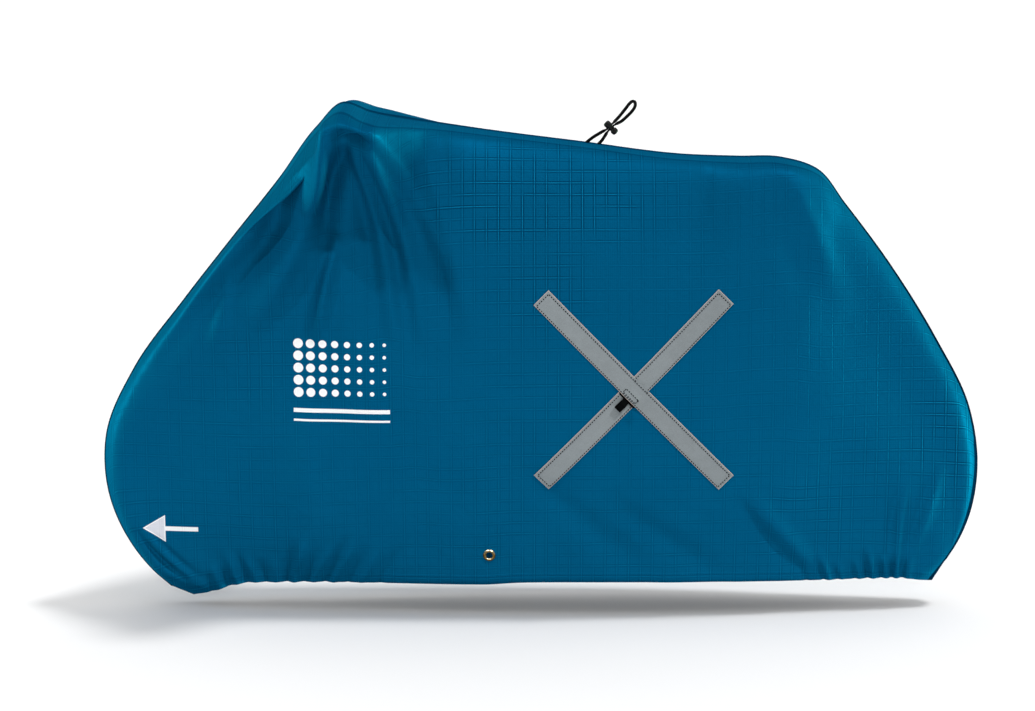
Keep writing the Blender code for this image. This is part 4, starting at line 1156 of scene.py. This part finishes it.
def slot_shape():
    """Long round-ended bar that opens the lock for the two strands."""
    radius = LOCK_SLOT_WIDE / 2.0
    straight = LOCK_SLOT_LONG / 2.0 - radius
    model = bmesh.new()
    rim = []
    for end in (1.0, -1.0):
        for step in range(LOCK_SLOT_STEPS + 1):
            angle = math.pi * step / LOCK_SLOT_STEPS
            place = LOCK_SLOT_MIDDLE + end * (straight + radius * math.sin(angle))
            rim.append((end * radius * math.cos(angle), place))
    bridge(model, [[model.verts.new((x, y, z)) for y, z in rim] for x in LOCK_SLOT_ENDS])
    return model


def add_drawcord(ridge):
    pieces = []
    for name, section, node, slot, dark, light in LOCK_PARTS:
        material = plastic_material("plastic_" + name, dark, light)
        model = turned(section[:, ::-1], LOCK_SIDES)
        piece = finished(name, model, material, slot, LOCK_FRAME, 35.0)
        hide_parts(node)
        pieces.append(piece)
    cut_out(pieces[0], "slot", slot_shape(), LOCK_FRAME)
    line, length = cord_line(ridge)
    cord = cord_tube(line)
    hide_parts("drawcord")


# ---- floor and lights
FLOOR_HALF = 40.0
FLOOR_WHITE = (0.86, 0.86, 0.86, 1.0)
LIGHTS = (
    # name, elevation, azimuth, strength, width of the light in the sky, what it shines on
    ("left", 55.0, -46.0, 0.52, 2.5, "cover"),
    ("right", 50.0, 47.0, 0.66, 4.0, "cover"),
    ("fill", 6.0, 0.0, 0.04, 60.0, "cover"),
    ("bounce", -32.0, 0.0, 0.10, 60.0, "cover"),
    ("rim_back", -6.0, 100.0, 1.85, 12.0, "cover"),
    ("rim_front", 8.0, -102.0, 1.05, 12.0, "cover"),
    ("back", 50.0, 180.0, 0.06, 20.0, "cover"),
    ("overhead", 62.0, 166.0, 0.48, 100.0, "floor"),
    ("overhead_front", 74.0, 0.0, 0.16, 70.0, "floor"),
    ("side", 66.0, 90.0, 0.45, 8.0, "floor"),
    ("low", 9.0, 0.0, 1.05, 30.0, "floor"),
)
RIM_TINT = (0.55, 1.0, 0.68)
WORLD_LIGHT = 0.12


def add_floor():
    mesh = bpy.data.meshes.new("floor")
    corners = ((-1.0, -1.0), (1.0, -1.0), (1.0, 1.0), (-1.0, 1.0))
    mesh.from_pydata([(x * FLOOR_HALF, y * FLOOR_HALF, SHIFT.z) for x, y in corners], [], [(0, 1, 2, 3)])
    graph = Graph("floor_white", roughness=0.9, specular=0.0)
    graph.shader["Base Color"].default_value = FLOOR_WHITE
    mesh.materials.append(graph.material)
    floor = linked("floor", mesh)
    return floor


def add_lights(floor):
    for name, elevation, azimuth, strength, width, target in LIGHTS:
        data = bpy.data.lights.new(name, "SUN")
        data.energy = strength * math.pi
        data.angle = math.radians(width)
        data.color = RIM_TINT if name.startswith("rim") else (1.0, 1.0, 1.0)
        light = aimed(name, data, elevation, azimuth)[0]
        lit = bpy.data.collections.new("lit_by_" + name)
        lit.objects.link(floor)
        light.light_linking.receiver_collection = lit
        if target == "cover":
            lit.collection_objects[0].light_linking.link_state = "EXCLUDE"
            light.light_linking.blocker_collection = lit


def add_world():
    """White where the camera sees the sky, and a weak light from all sides."""
    world = bpy.data.worlds.new("studio")
    world.use_nodes = True
    tree = world.node_tree
    ground = tree.nodes["Background"].inputs
    ground["Color"].default_value = (1.0, 1.0, 1.0, 1.0)
    seen, level = tree.nodes.new("ShaderNodeLightPath"), tree.nodes.new("ShaderNodeMapRange")
    level.inputs["To Min"].default_value = WORLD_LIGHT
    tree.links.new(seen.outputs["Is Camera Ray"], level.inputs["Value"])
    tree.links.new(level.outputs["Result"], ground["Strength"])
    bpy.context.scene.world = world


# ---- the scene
RIDGE_LOW = 0.9  # the drawcord stands on the ridge above this height

add_camera()
near_grid = folded_sheet(NEAR_CELLS, NEAR_ROWS, "near")
flatten_rest(near_grid)
far_grid = folded_sheet(FAR_CELLS, FAR_ROWS, "far")
near_cloth, far_cloth = cloth_material("ripstop_printed", True), cloth_material("ripstop_plain", False)
near_panel = add_panel("cover_panel_near", near_grid, False, near_cloth)
far_panel = add_panel("cover_panel_far", far_grid, True, far_cloth)
face = PanelFace(near_grid)
ridge = near_grid[:, 0]
add_drawcord(ridge[ridge[:, 2] > RIDGE_LOW])
add_eyelet(face, near_panel)
add_cross(face)
seam_binding(ridge)
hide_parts("side_panel_near")
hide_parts("side_panel_far")

add_lights(add_floor())
add_world()
bpy.context.scene.view_settings.view_transform = "Standard"
